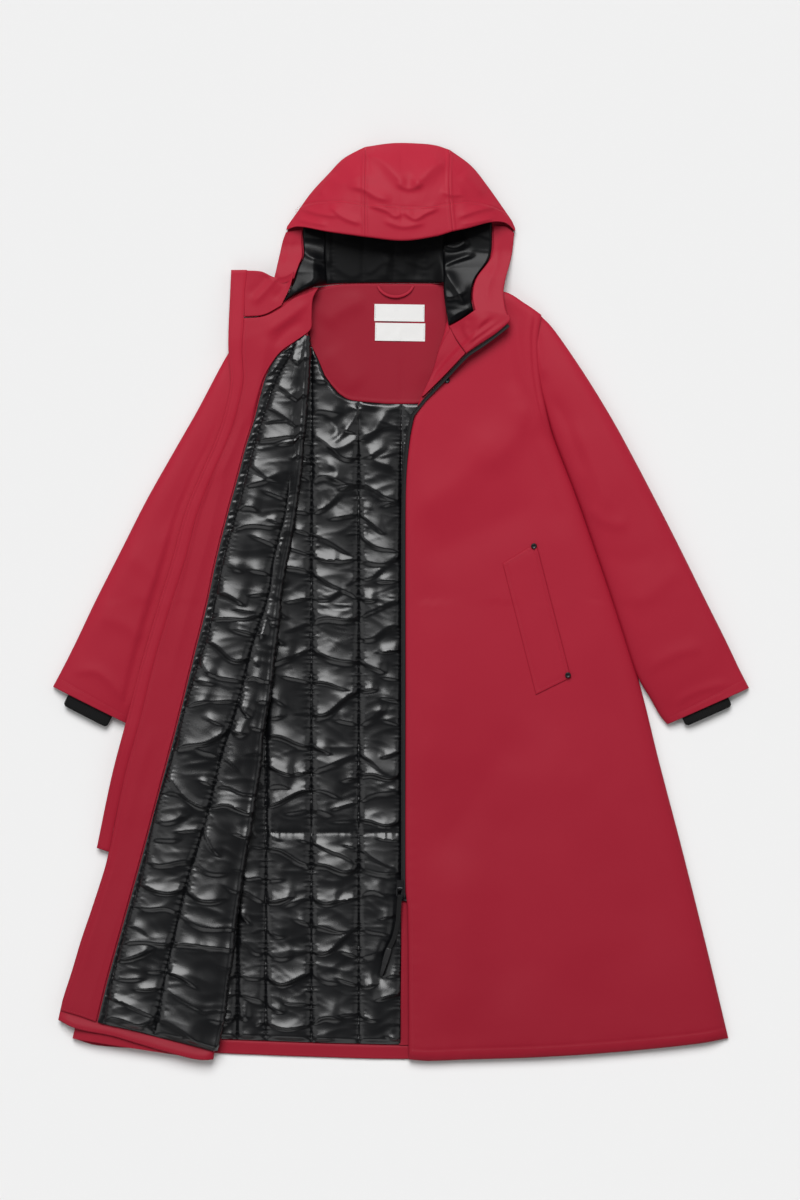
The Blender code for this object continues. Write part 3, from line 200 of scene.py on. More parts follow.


# Each shell finish is given a darker hem colour and a lighter hood colour, the two ends of its painted light
# falloff.
shell = shell_finish("red_shell_cloth", (0.238, 0.0078, 0.0200), (0.420, 0.0150, 0.0375))
# The facings' cloth is a slightly darker copy of the shell: painted shade, for facings that lie recessed.
shaded_inside_shell = shell_finish("red_facing_cloth_painted_shade", (0.222, 0.0072, 0.0186), (0.392, 0.0135, 0.0345))
# The yoke's cloth is a darker copy of the shell: painted shade, as the yoke lies recessed under the hood and
# the fronts.
shaded_yoke_shell = shell_finish("red_yoke_cloth_painted_shade", (0.172, 0.0056, 0.0145), (0.312, 0.0105, 0.0272))
satin = satin_finish("black_satin_lining", (0.0030, 0.0032, 0.0040), 0.29)
# The hood's lining takes two darker, less glossy copies of the satin: painted shade for the shadow under the
# hood, nearly black in the middle panel and a little lighter at the sides.
shaded_hood_satin = satin_finish("black_hood_lining_painted_shade", (0.0022, 0.0023, 0.0028), 0.50, 0.12)
shaded_side_satin = satin_finish("black_hood_side_lining_painted_shade", (0.0024, 0.0026, 0.0032), 0.33, 0.16)
print("finishes:", shell.material.name, satin.material.name)

# %% Finishes of knit, tape, metal, rubber, label and thread
def banded_finish(name, color, roughness, scale, direction, depth, lift=0.006):
    """A knit or a ribbon: fine even bands, a little lighter between."""
    finish = Finish(name, color, roughness, Specular_IOR_Level=0.25)
    bands = finish.bands(scale, direction)
    grain = finish.noise(700.0, 1.0)
    light = tuple(part * 1.04 + lift for part in color)
    finish.drive("Base Color", finish.tint(bands * 0.6 + grain * 0.3, color, light))
    finish.bump(bands * 0.7 + grain * 0.3, 0.5, depth)
    return finish


rib = banded_finish("black_rib_knit", (0.0030, 0.0030, 0.0034), 0.92, 160.0, "X", 0.0006, 0.003)
tape = banded_finish("black_zip_tape", (0.0085, 0.0078, 0.0085), 0.66, 240.0, "Y", 0.0003, 0.004)
grosgrain = banded_finish("black_grosgrain", (0.0034, 0.0034, 0.0038), 0.80, 220.0, "Y", 0.0004, 0.003)
label_satin = banded_finish("blank_label", (0.740, 0.735, 0.725), 0.55, 300.0, "X", 0.0001)
metal = Finish("black_enamel", (0.024, 0.024, 0.026), 0.30, Metallic=0.75)
metal.drive("Roughness", 0.24 + metal.noise(180.0) * 0.16)
rubber = Finish("moulded_black", (0.0060, 0.0060, 0.0068), 0.42, Specular_IOR_Level=0.45)
rubber.drive("Roughness", 0.36 + rubber.noise(120.0) * 0.16)
red_thread = Finish("red_thread", (0.300, 0.016, 0.030), 0.70)
red_thread.drive("Base Color",
                 red_thread.tint(red_thread.noise(500.0), (0.24, 0.012, 0.024), (0.42, 0.03, 0.05)))
black_thread = Finish("black_thread", (0.008, 0.008, 0.009), 0.70, Specular_IOR_Level=0.25)
black_thread.drive("Roughness", 0.6 + black_thread.noise(500.0) * 0.3)
print("trims:", rib.material.name, tape.material.name, metal.material.name)

# %% [markdown]
# ## Lines, panels and cloth
# A cut piece is a sheet between four edges. Each edge is a smooth line through a few measured
# points. The tables are close to those of the solids. Where the picture shows a softer line, as at
# the left sleeve and below the lapel, the cloth follows the picture.

# %% Smooth lines
def arc_lengths(points):
    """The length along a path up to each of its points."""
    return np.concatenate([[0.0], np.cumsum(np.linalg.norm(np.diff(points, axis=0), axis=1))])


def resample(points, lengths, wanted):
    """Points of a path at the wanted lengths."""
    return np.stack([np.interp(wanted, lengths, points[:, k]) for k in range(points.shape[1])], -1)


class Line:
    """A smooth line through (across, up) rows in millimetres, read by its fraction of the length."""

    def __init__(self, rows, steps=8):
        points = np.array(rows, float) * MM
        padded = np.vstack([points[:1], points, points[-1:]])
        share = (np.arange(1, steps + 1) / steps)[:, None]
        parts = [points[:1]]
        for before, start, end, after in zip(padded, padded[1:], padded[2:], padded[3:]):
            span = max(np.linalg.norm(end - start), 1e-9)
            slope_in = (end - before) / (np.linalg.norm(start - before) + span) * span
            slope_out = (after - start) / (span + np.linalg.norm(after - end)) * span
            leave, arrive = share ** 3 - 2 * share ** 2 + share, share ** 3 - share ** 2
            parts.append((2 * share ** 3 - 3 * share ** 2 + 1) * start + leave * slope_in
                         + (3 * share ** 2 - 2 * share ** 3) * end + arrive * slope_out)
        self.points = np.vstack(parts)
        self.lengths = arc_lengths(self.points)

    def at(self, fraction):
        return resample(self.points, self.lengths, np.clip(fraction, 0.0, 1.0) * self.lengths[-1])

    def near(self, x, y):
        """Distance to the line, positive on its left, and the fraction where it is nearest."""
        best, side, along = np.full(np.shape(x), 1e9), np.ones(np.shape(x)), np.zeros(np.shape(x))
        for index, (start, end) in enumerate(zip(self.points, self.points[1:])):
            dx, dy = end - start
            share = np.clip(((x - start[0]) * dx + (y - start[1]) * dy) / max(dx * dx + dy * dy, 1e-12), 0, 1)
            away = np.hypot(x - start[0] - share * dx, y - start[1] - share * dy)
            closer = away < best
            best = np.where(closer, away, best)
            side = np.where(closer, np.sign(dx * (y - start[1]) - dy * (x - start[0])), side)
            here = (self.lengths[index] + share * math.hypot(dx, dy)) / self.lengths[-1]
            along = np.where(closer, here, along)
        return best * side, along


# %% Panels and the spacing of their points
class Panel:
    """A cut piece between its upper, lower, left and right edges."""

    def __init__(self, top, low, left, right):
        self.top, self.low, self.left, self.right = Line(top), Line(low), Line(left), Line(right)

    def grid(self, columns, rows):
        """Points over the piece: columns run across it and rows down it, both from 0 to 1."""
        u, v = np.asarray(columns)[None, :, None], np.asarray(rows)[:, None, None]
        top, low = self.top.at(columns)[None], self.low.at(columns)[None]
        left, right = self.left.at(rows)[:, None], self.right.at(rows)[:, None]
        corner = {(a, b): (self.low if b else self.top).at(float(a)) for a in (0, 1) for b in (0, 1)}
        flat = ((1 - v) * top + v * low + (1 - u) * left + u * right
                - (1 - u) * (1 - v) * corner[0, 0] - u * (1 - v) * corner[1, 0]
                - (1 - u) * v * corner[0, 1] - u * v * corner[1, 1])
        return flat[..., 0], flat[..., 1]


FINE = (0.0006, 0.0014)


def spread(length, insets, middle, far=None):
    """Fractions with close steps at both ends, given as distances, and even ones between."""
    far = insets if far is None else far
    near = np.array([0.0, *insets]) / length
    end = 1.0 - np.array([0.0, *far])[::-1] / length
    return np.concatenate([near[:-1], np.linspace(near[-1], end[0], middle + 1), end[1:]])


def from_edges(share, length):
    """Distance from the nearer end of a span, of places given as fractions of it."""
    return np.minimum(share, 1 - share) * length


def smoothstep(value):
    value = np.clip(value, 0.0, 1.0)
    return value * value * (3.0 - 2.0 * value)


def across_at(rows, up):
    """Across position of a table's line at a given height."""
    table = np.array(sorted(rows, key=lambda row: row[1]), float) * MM
    return np.interp(up, table[:, 1], table[:, 0])


def up_at(rows, across):
    """Height of a table's line at a given position across."""
    return across_at([(up, side) for side, up in rows], across)


# %% Faces, meshes and pieces
def joined(first, second):
    """Triangles between two rims that may have different numbers of points."""
    faces, i, j = [], 0, 0
    while i < len(first) - 1 or j < len(second) - 1:
        first_share, second_share = (i + 1) / (len(first) - 1), (j + 1) / (len(second) - 1)
        if j == len(second) - 1 or (i < len(first) - 1 and first_share <= second_share):
            faces.append((first[i + 1], first[i], second[j]))
            i += 1
        else:
            faces.append((second[j], second[j + 1], first[i]))
            j += 1
    return faces


def grid_faces(index):
    corners = [index[:-1, :-1], index[:-1, 1:], index[1:, 1:], index[1:, :-1]]
    return np.stack(corners, -1).reshape(-1, 4).tolist()


def new_mesh(name, points, faces, *finishes):
    """A mesh with one slot for each finish."""
    mesh = bpy.data.meshes.new(name)
    mesh.from_pydata(points, [], faces)
    for finish in finishes:
        mesh.materials.append(finish.material)
    return mesh


def smooth(mesh, sharp=58):
    """Soft shading, with a crisp line wherever the cloth turns by more degrees than sharp."""
    mesh.shade_smooth()
    mesh.set_sharp_from_angle(angle=math.radians(sharp))


def new_piece(name, mesh, body="coat"):
    """A mesh put into the scene, riding on one of the part's bodies."""
    piece = bpy.data.objects.new(name, mesh)
    scene.collection.objects.link(piece)
    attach(piece, body)
    return piece


# %% Cloth from two layers of points
def cloth(name, outer, inner, finish, rests_on, held="laid", inner_finish=None, body="coat", closed=False,
          padding=None, lean=None):
    """A closed sheet between an outer and an inner layer of points, each (rows, columns, 3).

    It stands for the solid of the same name. Held is None for a trim, which is then named in a printed line.
    Held is None for a trim that is narrower than a declared sheet may be. Lean is the number of columns that
    a hidden inner layer keeps."""
    if lean:
        inner = inner[:, np.linspace(0, inner.shape[1] - 1, lean).round().astype(int)]
    above = np.arange(outer.shape[0] * outer.shape[1]).reshape(outer.shape[:2])
    below = np.arange(inner.shape[0] * inner.shape[1]).reshape(inner.shape[:2]) + above.size
    if closed:
        above, below = np.hstack([above, above[:, :1]]), np.hstack([below, below[:, :1]])
    front = grid_faces(above)
    back = [face[::-1] for face in grid_faces(below)]
    rim = joined(above[0], below[0]) + [face[::-1] for face in joined(above[-1], below[-1])]
    if not closed:
        rim += grid_faces(np.stack([above[:, 0], below[:, 0]], 1)[::-1])
        rim += grid_faces(np.stack([above[:, -1], below[:, -1]], 1))
    points = np.concatenate([outer.reshape(-1, 3), inner.reshape(-1, 3)])
    faces = front + back + rim
    corners = points[[face[:3] for face in faces]]
    others = points[[(face[0], face[2], face[-1]) for face in faces]]
    volume = sum(np.einsum("ij,ij->", part[:, 0], np.cross(part[:, 1], part[:, 2]))
                 for part in (corners, others))
    if volume < 0:
        faces = [face[::-1] for face in faces]
    mesh = new_mesh(name, points.tolist(), faces, *([finish, inner_finish] if inner_finish else [finish]))
    smooth(mesh)
    if inner_finish:
        slots = np.zeros(len(faces), dtype=np.int32)
        slots[len(front):len(front) + len(back)] = 1
        mesh.polygons.foreach_set("material_index", slots)
    piece = new_piece(name, mesh, body)
    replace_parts(piece, name)
    if held is None:
        print(name, "is a trim on", rests_on[0])
    elif padding is None:
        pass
    else:
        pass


def layer(x, y, z):
    return np.stack([x, y, np.broadcast_to(z, x.shape)], -1)


def reach_across(x, y):
    """The width of each row of points."""
    return np.hypot(x[:, -1:] - x[:, :1], y[:, -1:] - y[:, :1])


# %% [markdown]
# ## Folds, gathers and unevenness
# Real cloth is never flat. Long soft folds are listed one by one, as ridges along a line that fade at
# their ends. Small gathers and a slow unevenness come from seeded noise, so each run is the same.

# %% Folds and noise
def fold(x, y, rows, width, height, steep=1.0):
    """A soft ridge along a line, or a trough if height is negative. steep narrows its lower side."""
    off, along = Line(rows).near(x, y)
    lower = off if rows[-1][0] < rows[0][0] else -off
    off = np.where(lower > 0, lower * steep, lower) / (width * MM)
    ends = smoothstep(along / 0.25) * smoothstep((1.0 - along) / 0.25)
    return height * MM * np.exp(-np.abs(off) ** 1.7) * ends


def folds(x, y, table):
    """The sum of a table's folds: line, width (mm), height (mm), steepness of the lower side."""
    return sum(fold(x, y, *row) for row in table)


def cloud(x, y, size, seed):
    """Slow random values between -1 and 1, with patches of a given size in metres."""
    lattice = np.random.RandomState(seed).uniform(-1, 1, (64, 64))
    u, v = x / size, y / size
    i, j = np.floor(u).astype(int), np.floor(v).astype(int)
    a, b = smoothstep(u - i), smoothstep(v - j)
    i, j = i % 63, j % 63
    return ((1 - a) * (1 - b) * lattice[i, j] + a * (1 - b) * lattice[i + 1, j]
            + (1 - a) * b * lattice[i, j + 1] + a * b * lattice[i + 1, j + 1])


def crumple(x, y, size, seed):
    """Fine sharp-crested wrinkles that run mostly across, between -1 and 1."""
    total = 0.0
    for turn, scale, weight in ((0.12, 1.0, 0.5), (-0.35, 0.62, 0.32), (0.6, 0.4, 0.18)):
        u, v = x * math.cos(turn) + y * math.sin(turn), y * math.cos(turn) - x * math.sin(turn)
        bent = v + 0.4 * size * cloud(u, v, size * 1.6, seed + 7)
        total = total + weight * (1.0 - 2.6 * np.abs(cloud(u / 3.0, bent, size * scale, seed)))
    return total


def bell(distance, width, power=2):
    """1 where the distance is zero, and fading to nothing over the width."""
    return np.exp(-(distance / width) ** power)


def rounded(distance, radius, drop):
    """How far an edge has dropped as it rounds over, from the distance to it."""
    share = 1.0 - np.clip(distance, 0.0, radius) / radius
    return drop * (1.0 - np.sqrt(1.0 - share ** 2))


# %% [markdown]
# ## Measured outlines
# Every row is (across, up) in millimetres from the point below the coat's middle. The levels are
# heights over the table, in metres, and they are those of the solids.

# %% Outlines of the body and the fronts
GAP, SHELL, YOKE = 0.0003, 0.0024, 0.0027
LINING_UNDER, FRONT_LOW = SHELL + GAP, SHELL + 0.0023
FRONT_UNDER, FRONT_OVER = 0.0100, 0.0185
TURN_UNDER, TURN_OVER = 0.0181, 0.0205
FACING_UNDER = 0.0214
HEM_BAND, HEM_RISE, SIDE_ROLL, ARMHOLE_ROLL = 0.020, 0.0020, 0.045, 0.012
BODY_SIDE = [(220, 448), (215, 405), (218, 350), (227, 300), (241, 253), (272, 175), (311, 66),
             (343, -28), (376, -137), (403, -246), (440, -387), (479, -543), (512, -681)]
BACK_NECK = [(-220, 448), (-197, 464), (-157, 484), (-93, 496), (-1, 497), (93, 496),
             (157, 484), (197, 464), (220, 448)]
BACK_HEM = [(-512, -681), (-478, -692), (-398, -698), (-281, -705), (-125, -711), (-1, -714),
            (125, -711), (281, -704), (398, -694), (478, -685), (512, -681)]
YOKE_TOP = [(-149, 480), (-93, 495), (-1, 496), (71, 495)]
FRONT_EDGE = [(71, 435), (68, 419), (59, 392), (49, 357), (30, 315), (22, 290), (16, 262),
              (12, 230), (9, 190), (8, 130), (8, -150), (8, -449), (11, -480), (13, -714)]
FRONT_TOP = [(71, 435), (109, 470), (160, 484), (197, 464), (220, 448)]
FRONT_HEM = [(13, -714), (43, -716), (101, -714), (202, -711), (304, -705), (405, -696),
             (473, -688), (512, -681)]
LAPEL_ZIP = [(166, 433), (146, 417), (124, 401), (102, 386), (71, 354), (36, 318)]
ROLL_LINE = [(75, 426), (59, 392), (49, 357), (30, 315), (20, 282)]
TURN_EDGE = [(-244, 442), (-247, 393), (-245, 346), (-249, 321), (-258, 284), (-272, 245),
             (-286, 214), (-308, 161), (-320, 126), (-335, 66), (-358, -6), (-384, -94),
             (-406, -184), (-430, -271), (-455, -390), (-462, -418), (-482, -480), (-498, -527), (-512, -574),
             (-527, -621), (-534, -652)]
FLAP_EDGE = [(-264, 518), (-266, 471), (-268, 423), (-268, 392), (-265, 346), (-268, 321),
             (-277, 284), (-291, 245), (-305, 214), (-328, 161), (-340, 126), (-356, 66),
             (-378, -6), (-404, -94), (-427, -184), (-450, -271), (-474, -384)]
FOLD = [(-127, 490), (-136, 473), (-138, 445), (-138, 424), (-139, 384), (-144, 301), (-149, 239),
        (-157, 175), (-168, 97), (-178, 45), (-191, -53), (-199, -137), (-211, -204), (-219, -273),
        (-232, -357), (-246, -441), (-258, -527), (-269, -621), (-285, -713)]
TURN_TOP = [(-244, 442), (-213, 445), (-186, 458), (-164, 474), (-139, 483), (-127, 490)]
TURN_HEM = [(-534, -652), (-505, -665), (-450, -676), (-406, -689), (-375, -698), (-316, -713),
            (-285, -713)]
FACING_IN = [(-127, 490), (-136, 473), (-138, 445), (-140, 424), (-177, 401), (-193, 384),
             (-210, 356), (-221, 320), (-230, 284), (-244, 239), (-254, 200), (-271, 138),
             (-289, 66), (-304, -6), (-324, -86), (-348, -184), (-373, -278), (-395, -361),
             (-413, -427), (-434, -502), (-458, -588), (-474, -654)]
FACING_LOW = [(-530, -637), (-500, -645), (-474, -654)]

# %% Outlines of the quilting
STITCH_1 = [(-163, 405), (-175, 380), (-194, 346), (-216, 284), (-232, 229), (-250, 159),
            (-276, 66), (-299, -46), (-320, -109), (-334, -158), (-353, -232), (-381, -324),
            (-401, -418), (-428, -510), (-446, -576), (-463, -657)]
STITCH_2 = [(-143, 408), (-144, 384), (-148, 301), (-152, 239), (-164, 188), (-176, 150), (-198, 66),
            (-205, 15), (-232, -70), (-252, -154), (-279, -239), (-299, -324), (-314, -376),
            (-330, -427), (-353, -523), (-368, -591), (-383, -674)]
BACK_TOP = [(-290, -621), (-279, -527), (-267, -441), (-253, -357), (-240, -273), (-232, -205),
            (-221, -140), (-210, -50), (-199, 40), (-188, 97), (-177, 175), (-165, 300),
            (-152, 380), (-139, 400), (-129, 380), (-118, 353), (-108, 339), (-96, 325),
            (-84, 317), (-74, 314), (-65, 313), (-54, 312), (-43, 311), (-32, 310), (-21, 309),
            (-10, 309), (2, 309), (22, 309), (45, 311), (71, 314)]
LINING_LEFT = [(-150, 480), (-152, 380), (-167, 300), (-179, 175), (-190, 97), (-201, 40),
               (-212, -50), (-223, -140), (-234, -205), (-242, -273), (-255, -357), (-269, -441),
               (-281, -527), (-292, -621), (-292, -714)]
BACK_STITCHES = (-310, -255, -210, -139, -65, 2, 80)
BACK_SEAM, VENT_TOP, LINING_END = -0.360, -0.470, 0.0725
PULL_LINE = [(-0.7, -458.5), (-2.5, -480), (-4.2, -500), (-9.5, -523), (-17.5, -540.2), (-30.5, -584)]


def droop(x, y):
    """How far the turned front sinks, along its free edge below the cuff and at its top corner."""
    inward = np.clip(x - across_at(TURN_EDGE, y), 0.0, None)
    sunk = np.clip(1.0 - inward / 0.014, 0, None) * 0.5 + np.clip(1.0 - inward / 0.045, 0, None) * 0.5
    corner = 0.008 * np.clip(1.0 - np.hypot(x + 0.264, y - 0.518) / 0.110, 0, None)
    return 0.010 * smoothstep((-0.190 - y) / 0.200) * sunk + corner


# %% [markdown]
# ## Sewing
# Each stitch is a short lozenge of thread, laid along a line on the cloth. All stitches of one
# colour are one mesh, which is light enough to follow every seam.

# %% Stitches
stitch_points, stitch_faces = {"red": [], "black": []}, {"red": [], "black": []}
LOZENGE = [(0, 1, 4), (1, 2, 4), (2, 3, 4), (3, 0, 4), (1, 0, 5), (2, 1, 5), (3, 2, 5), (0, 3, 5)]


def sew(color, path, pitch=0.0042, width=0.00075, sink=0.0):
    """Adds stitches of thread along a path of (x, y, z) points."""
    path = np.asarray(path, float)
    lengths = arc_lengths(path)
    starts = np.arange(0.5 * pitch, lengths[-1] - pitch, pitch)
    ends = starts + 0.72 * pitch
    a, b = (resample(path, lengths, places) for places in (starts, ends))
    ahead = (b - a) / np.maximum(np.linalg.norm(b - a, axis=1, keepdims=True), 1e-9)
    side = np.cross(ahead, [0.0, 0.0, 1.0]) * width / 2
    lift = np.array([0.0, 0.0, 0.45 * width])
    middle = (a + b) / 2
    ring = [a, middle + side, b, middle - side, middle + lift, middle - lift]
    base = len(stitch_points[color])
    points = np.stack(ring, 1).reshape(-1, 3) - [0.0, 0.0, sink]
    stitch_points[color].extend(points.tolist())
    for first in range(base, base + 6 * len(starts), 6):
        stitch_faces[color] += [tuple(first + corner for corner in face) for face in LOZENGE]


def inset_line(outer, side, inset, start=0, end=None):
    """A line on a layer of points, a fixed distance in from its left or right edge."""
    rows = outer[start:end]
    if side == "right":
        rows = rows[:, ::-1]
    return np.array([resample(row, arc_lengths(row), inset) for row in rows])


def inset_row(outer, side, inset):
    """A line on a layer of points, a fixed distance in from its upper or lower edge."""
    return inset_line(np.swapaxes(outer, 0, 1), "left" if side == "top" else "right", inset)


# %% [markdown]
# ## Back shell
# The whole back is one panel of shell cloth against the table. It shows below the lining as the
# turned-up hem, and from underneath as the back of the coat, so its outside has a centre seam.

# %% Back shell
def back_shell():
    panel = Panel(BACK_NECK, BACK_HEM, [(-a, b) for a, b in BODY_SIDE], BODY_SIDE)
    length, step = 1.19, 0.0008
    rows = spread(length, (), 84,
                  (step, 0.0016, 0.004, 0.012, HEM_BAND - 0.002, HEM_BAND - step, HEM_BAND + step))
    x, y = panel.grid(np.linspace(0, 1, 97), rows)
    below = (1.0 - rows[:, None]) * length
    band = smoothstep((HEM_BAND + step - below) / (2 * step))
    ripple = 0.0004 * cloud(x, y, 0.012, 3) * smoothstep((0.03 - below) / 0.02)
    top = SHELL + HEM_RISE * band - rounded(below, 0.0016, 0.0012) + ripple * band
    seam = bell(x, 0.0018) * 0.0009
    outer = layer(x, y, top)
    cloth("back_shell", outer, layer(x, y, seam), shell, ["table"])
    sew("red", inset_row(outer, "low", HEM_BAND - 0.002))
    sew("red", inset_row(outer, "low", 0.0035))


back_shell()


# %% [markdown]
# ## Quilting
# Padding is held between two layers by rows of stitches. Between two rows the satin swells, and
# where the thread has drawn up it gathers: small tucks beside the stitches, and long folds that
# cross from a pinch on one row to a pinch on the next. The pinches are shared by both channels.

# %% Pinches, tucks and folds of satin
PINCH_STEP = (0.026, 0.052)
QUILT_THREAD = 0.0006


def pinches(seed, start=-1.2, end=1.2):
    """Places along a row of stitches where the satin is drawn together."""
    rng = np.random.RandomState(seed)
    places = [start + rng.uniform(0.0, 0.03)]
    while places[-1] < end:
        places.append(places[-1] + rng.uniform(*PINCH_STEP))
    return np.array(places)


def tucks(along, seed):
    """Small gathers beside a row of stitches."""
    rng = np.random.RandomState(seed)
    total = 0.0
    for _ in range(7):
        period = rng.uniform(0.0045, 0.011)
        total = total + np.sin(2 * np.pi * (along / period + rng.uniform())) * rng.uniform(0.5, 1.0)
    return total / 3.2


def crest(off, wide, sharp=0.20):
    """A fold of satin: a long face that steepens to its crest, and a short steep face below it."""
    lower = np.exp(-(np.clip(off, 0, None) / (sharp * wide)) ** 1.3)
    upper = np.exp(-(np.clip(-off, 0, None) / wide) ** 1.12)
    return np.where(off > 0, lower, upper)


# %% Relief of one quilted channel
def channel(share, along, width, seeds, puff, height=0.0070, gathers=1.0):
    """Relief of one channel: share runs across it and along down it, toward the hem."""
    share = np.clip(share, 0.0, 1.0)
    narrow = np.clip(width / 0.055, 0.0, 1.0)
    edge = np.minimum(share, 1.0 - share) * width
    body = 0.38 + 0.62 * smoothstep(edge / 0.009)
    relief = puff * np.sin(np.pi * share) ** 0.62 * narrow
    low, high = along.min() - 0.05, along.max() + 0.05
    left, right = (side[(side > low) & (side < high)] for side in (pinches(seeds[0]), pinches(seeds[1])))
    rng = np.random.RandomState(seeds[0] * 31 + seeds[1])
    total = np.zeros(np.shape(along + share))
    for place in left:
        other = right[np.argmin(np.abs(right - place - rng.uniform(-0.030, 0.030)))]
        sag, swing = rng.uniform(-0.006, 0.013), rng.uniform(-0.006, 0.006)
        tall, wide = rng.uniform(0.45, 1.0), rng.uniform(0.014, 0.030)
        reach = rng.choice([2.0, 2.0, 0.55, 0.75])
        centre = place + (other - place) * share + sag * np.sin(np.pi * share)
        centre = centre + swing * np.sin(2 * np.pi * share)
        total = np.maximum(total, tall * crest(along - centre, wide) * smoothstep((reach - share) / 0.3))
    for place in right:
        reach, tall, wide = rng.uniform(0.40, 0.80), rng.uniform(0.20, 0.80), rng.uniform(0.009, 0.018)
        centre = place + rng.uniform(-0.40, 0.40) * (1.0 - share) * width
        total = np.maximum(total, tall * crest(along - centre, wide) * smoothstep((share - 1 + reach) / 0.3))
    relief = relief + height * total * body * narrow
    relief = relief + 0.0008 * gathers * crumple(share * width, along, 0.026, seeds[0] + 500) * body * narrow
    gather = np.where(share < 0.5, tucks(along, seeds[0] + 900), tucks(along, seeds[1] + 900))
    relief = relief + 0.0013 * gathers * gather * bell(edge, 0.0058, 1.5) * np.clip(width / 0.030, 0.25, 1.0)
    return relief - 0.0012 * gathers * bell(edge, 0.0015)


BESIDE_STITCHES = (0.0008, 0.0018, 0.0032, 0.0050, 0.0074, 0.0104)


def quilted_columns(lines, middle=0.0034):
    """Positions across rows of stitches: close together beside each row, wider apart between."""
    made = [lines[:1]]
    for start, end in zip(lines, lines[1:]):
        width = end - start
        count = max(2, int((width - 2 * BESIDE_STITCHES[-1]) / middle))
        made.append(start + width * spread(width, BESIDE_STITCHES, count)[1:])
    return np.concatenate(made)


# %% A quilted sheet
def quilted_sheet(name, x, y, z, under):
    """A quilted sheet cut out of a height field. Points that share a place on its edge are merged."""
    index = np.arange(x.size).reshape(x.shape)
    quads = grid_faces(index)
    points = layer(x, y, z).reshape(-1, 3)
    corners = points[np.array(quads)]
    size = np.linalg.norm(np.cross(corners[:, 2] - corners[:, 0], corners[:, 3] - corners[:, 1]), axis=1)
    mesh = new_mesh(name, points.tolist(), [quad for quad, area in zip(quads, size) if area > 1e-9], satin)
    work = bmesh.new()
    work.from_mesh(mesh)
    bmesh.ops.delete(work, geom=[vertex for vertex in work.verts if not vertex.link_faces], context="VERTS")
    bmesh.ops.remove_doubles(work, verts=work.verts, dist=2e-6)
    work.normal_update()
    if sum(face.normal.z for face in work.faces) < 0:
        bmesh.ops.reverse_faces(work, faces=work.faces)
    rim = [edge for edge in work.edges if edge.is_boundary]
    made = bmesh.ops.extrude_edge_only(work, edges=rim)["geom"]
    for item in made:
        if isinstance(item, bmesh.types.BMVert):
            item.co.z = under
    lower_rim = [item for item in made if isinstance(item, bmesh.types.BMEdge) and item.is_boundary]
    bmesh.ops.edgeloop_fill(work, edges=lower_rim)
    bmesh.ops.recalc_face_normals(work, faces=work.faces)
    work.to_mesh(mesh)
    work.free()
    smooth(mesh)
    piece = new_piece(name, mesh)
    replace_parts(piece, name)
    print(name, "padded, faces:", len(mesh.polygons))


# %% Back lining
BACK_FOLDS = [
    ([(-88, 307), (-68, 300), (-73, 283), (-96, 257), (-116, 243)], 7, 3.4, 1.4),
    ([(-137, 245), (-96, 241), (-70, 253), (-44, 263), (-24, 293), (-8, 303)], 9, 3.2, 1.4),
    ([(-118, 290), (-100, 272), (-104, 250)], 9, -2.4, 1.4),
    ([(-50, 250), (-44, 224), (-18, 214), (-2, 216)], 10, 2.8, 1.4),
    ([(-122, 220), (-98, 205), (-110, 180)], 9, 2.6, 1.3),
]


def back_lining():
    """Quilted in upright channels, with one gathered seam across it."""
    columns = quilted_columns(np.array([-290, *BACK_STITCHES[1:-1], 71]) * MM)
    top = up_at(BACK_TOP, columns) - 0.0004
    low = up_at(BACK_HEM[:7], columns) + HEM_BAND + 0.003
    low = np.where(columns > 0.001, VENT_TOP + 0.003, low)
    y = np.linspace(0.400, -0.7, 640)[:, None] + 0 * columns
    y = np.clip(y, low, top)
    x = np.broadcast_to(columns, y.shape)
    relief = np.zeros(y.shape)
    borders = np.array(BACK_STITCHES) * MM
    for index in range(len(borders) - 1):
        inside = (columns >= borders[index]) & (columns <= borders[index + 1])
        width = borders[index + 1] - borders[index]
        share = (x[:, inside] - borders[index]) / width
        relief[:, inside] = channel(share, -y[:, inside], width, (40 + index, 41 + index), 0.0046)
    away = np.abs(y - BACK_SEAM)
    relief = relief * (1.0 - 0.5 * smoothstep((y - 0.225) / 0.05)) + folds(x, y, BACK_FOLDS)
    drawn = 0.5 + 0.5 * tucks(0.4 * x, 78)
    relief = relief * (1.0 - 0.20 * bell(away, 0.006, 1.5)) - 0.0006 * drawn * bell(away, 0.0030)
    relief = relief + 0.0013 * tucks(x, 77) * bell(away, 0.0085, 1.5)
    relief = relief * (1.0 - 0.75 * bell(Line(PULL_LINE).near(x, y)[0], 0.011))
    ends = smoothstep((y - low) / 0.010 + 0.1) * smoothstep((top - y) / 0.006 + 0.3)
    z = LINING_UNDER + 0.0026 + np.clip(relief, -0.0012, 0.0130) * ends
    quilted_sheet("back_lining", x, y, z, LINING_UNDER)
    surface = layer(x, y, z)
    sew("black", surface[int(np.argmin(away[:, 0])), 3:-3], width=QUILT_THREAD)
    for line in borders[1:-1]:
        column = int(np.argmin(np.abs(columns - line)))
        shown = (y[:, column] < top[column] - 0.004) & (y[:, column] > low[column] + 0.004)
        sew("black", surface[shown, column], width=QUILT_THREAD)


back_lining()

# %% Yoke inside the back neck
YOKE_FOLDS = [
    ([(-50, 474), (-93, 455), (-124, 430)], 20, 2.0, 1.4),
    ([(40, 470), (34, 400), (46, 330)], 20, 1.2),
    ([(-120, 400), (-90, 360), (-60, 330)], 22, 1.6),
]


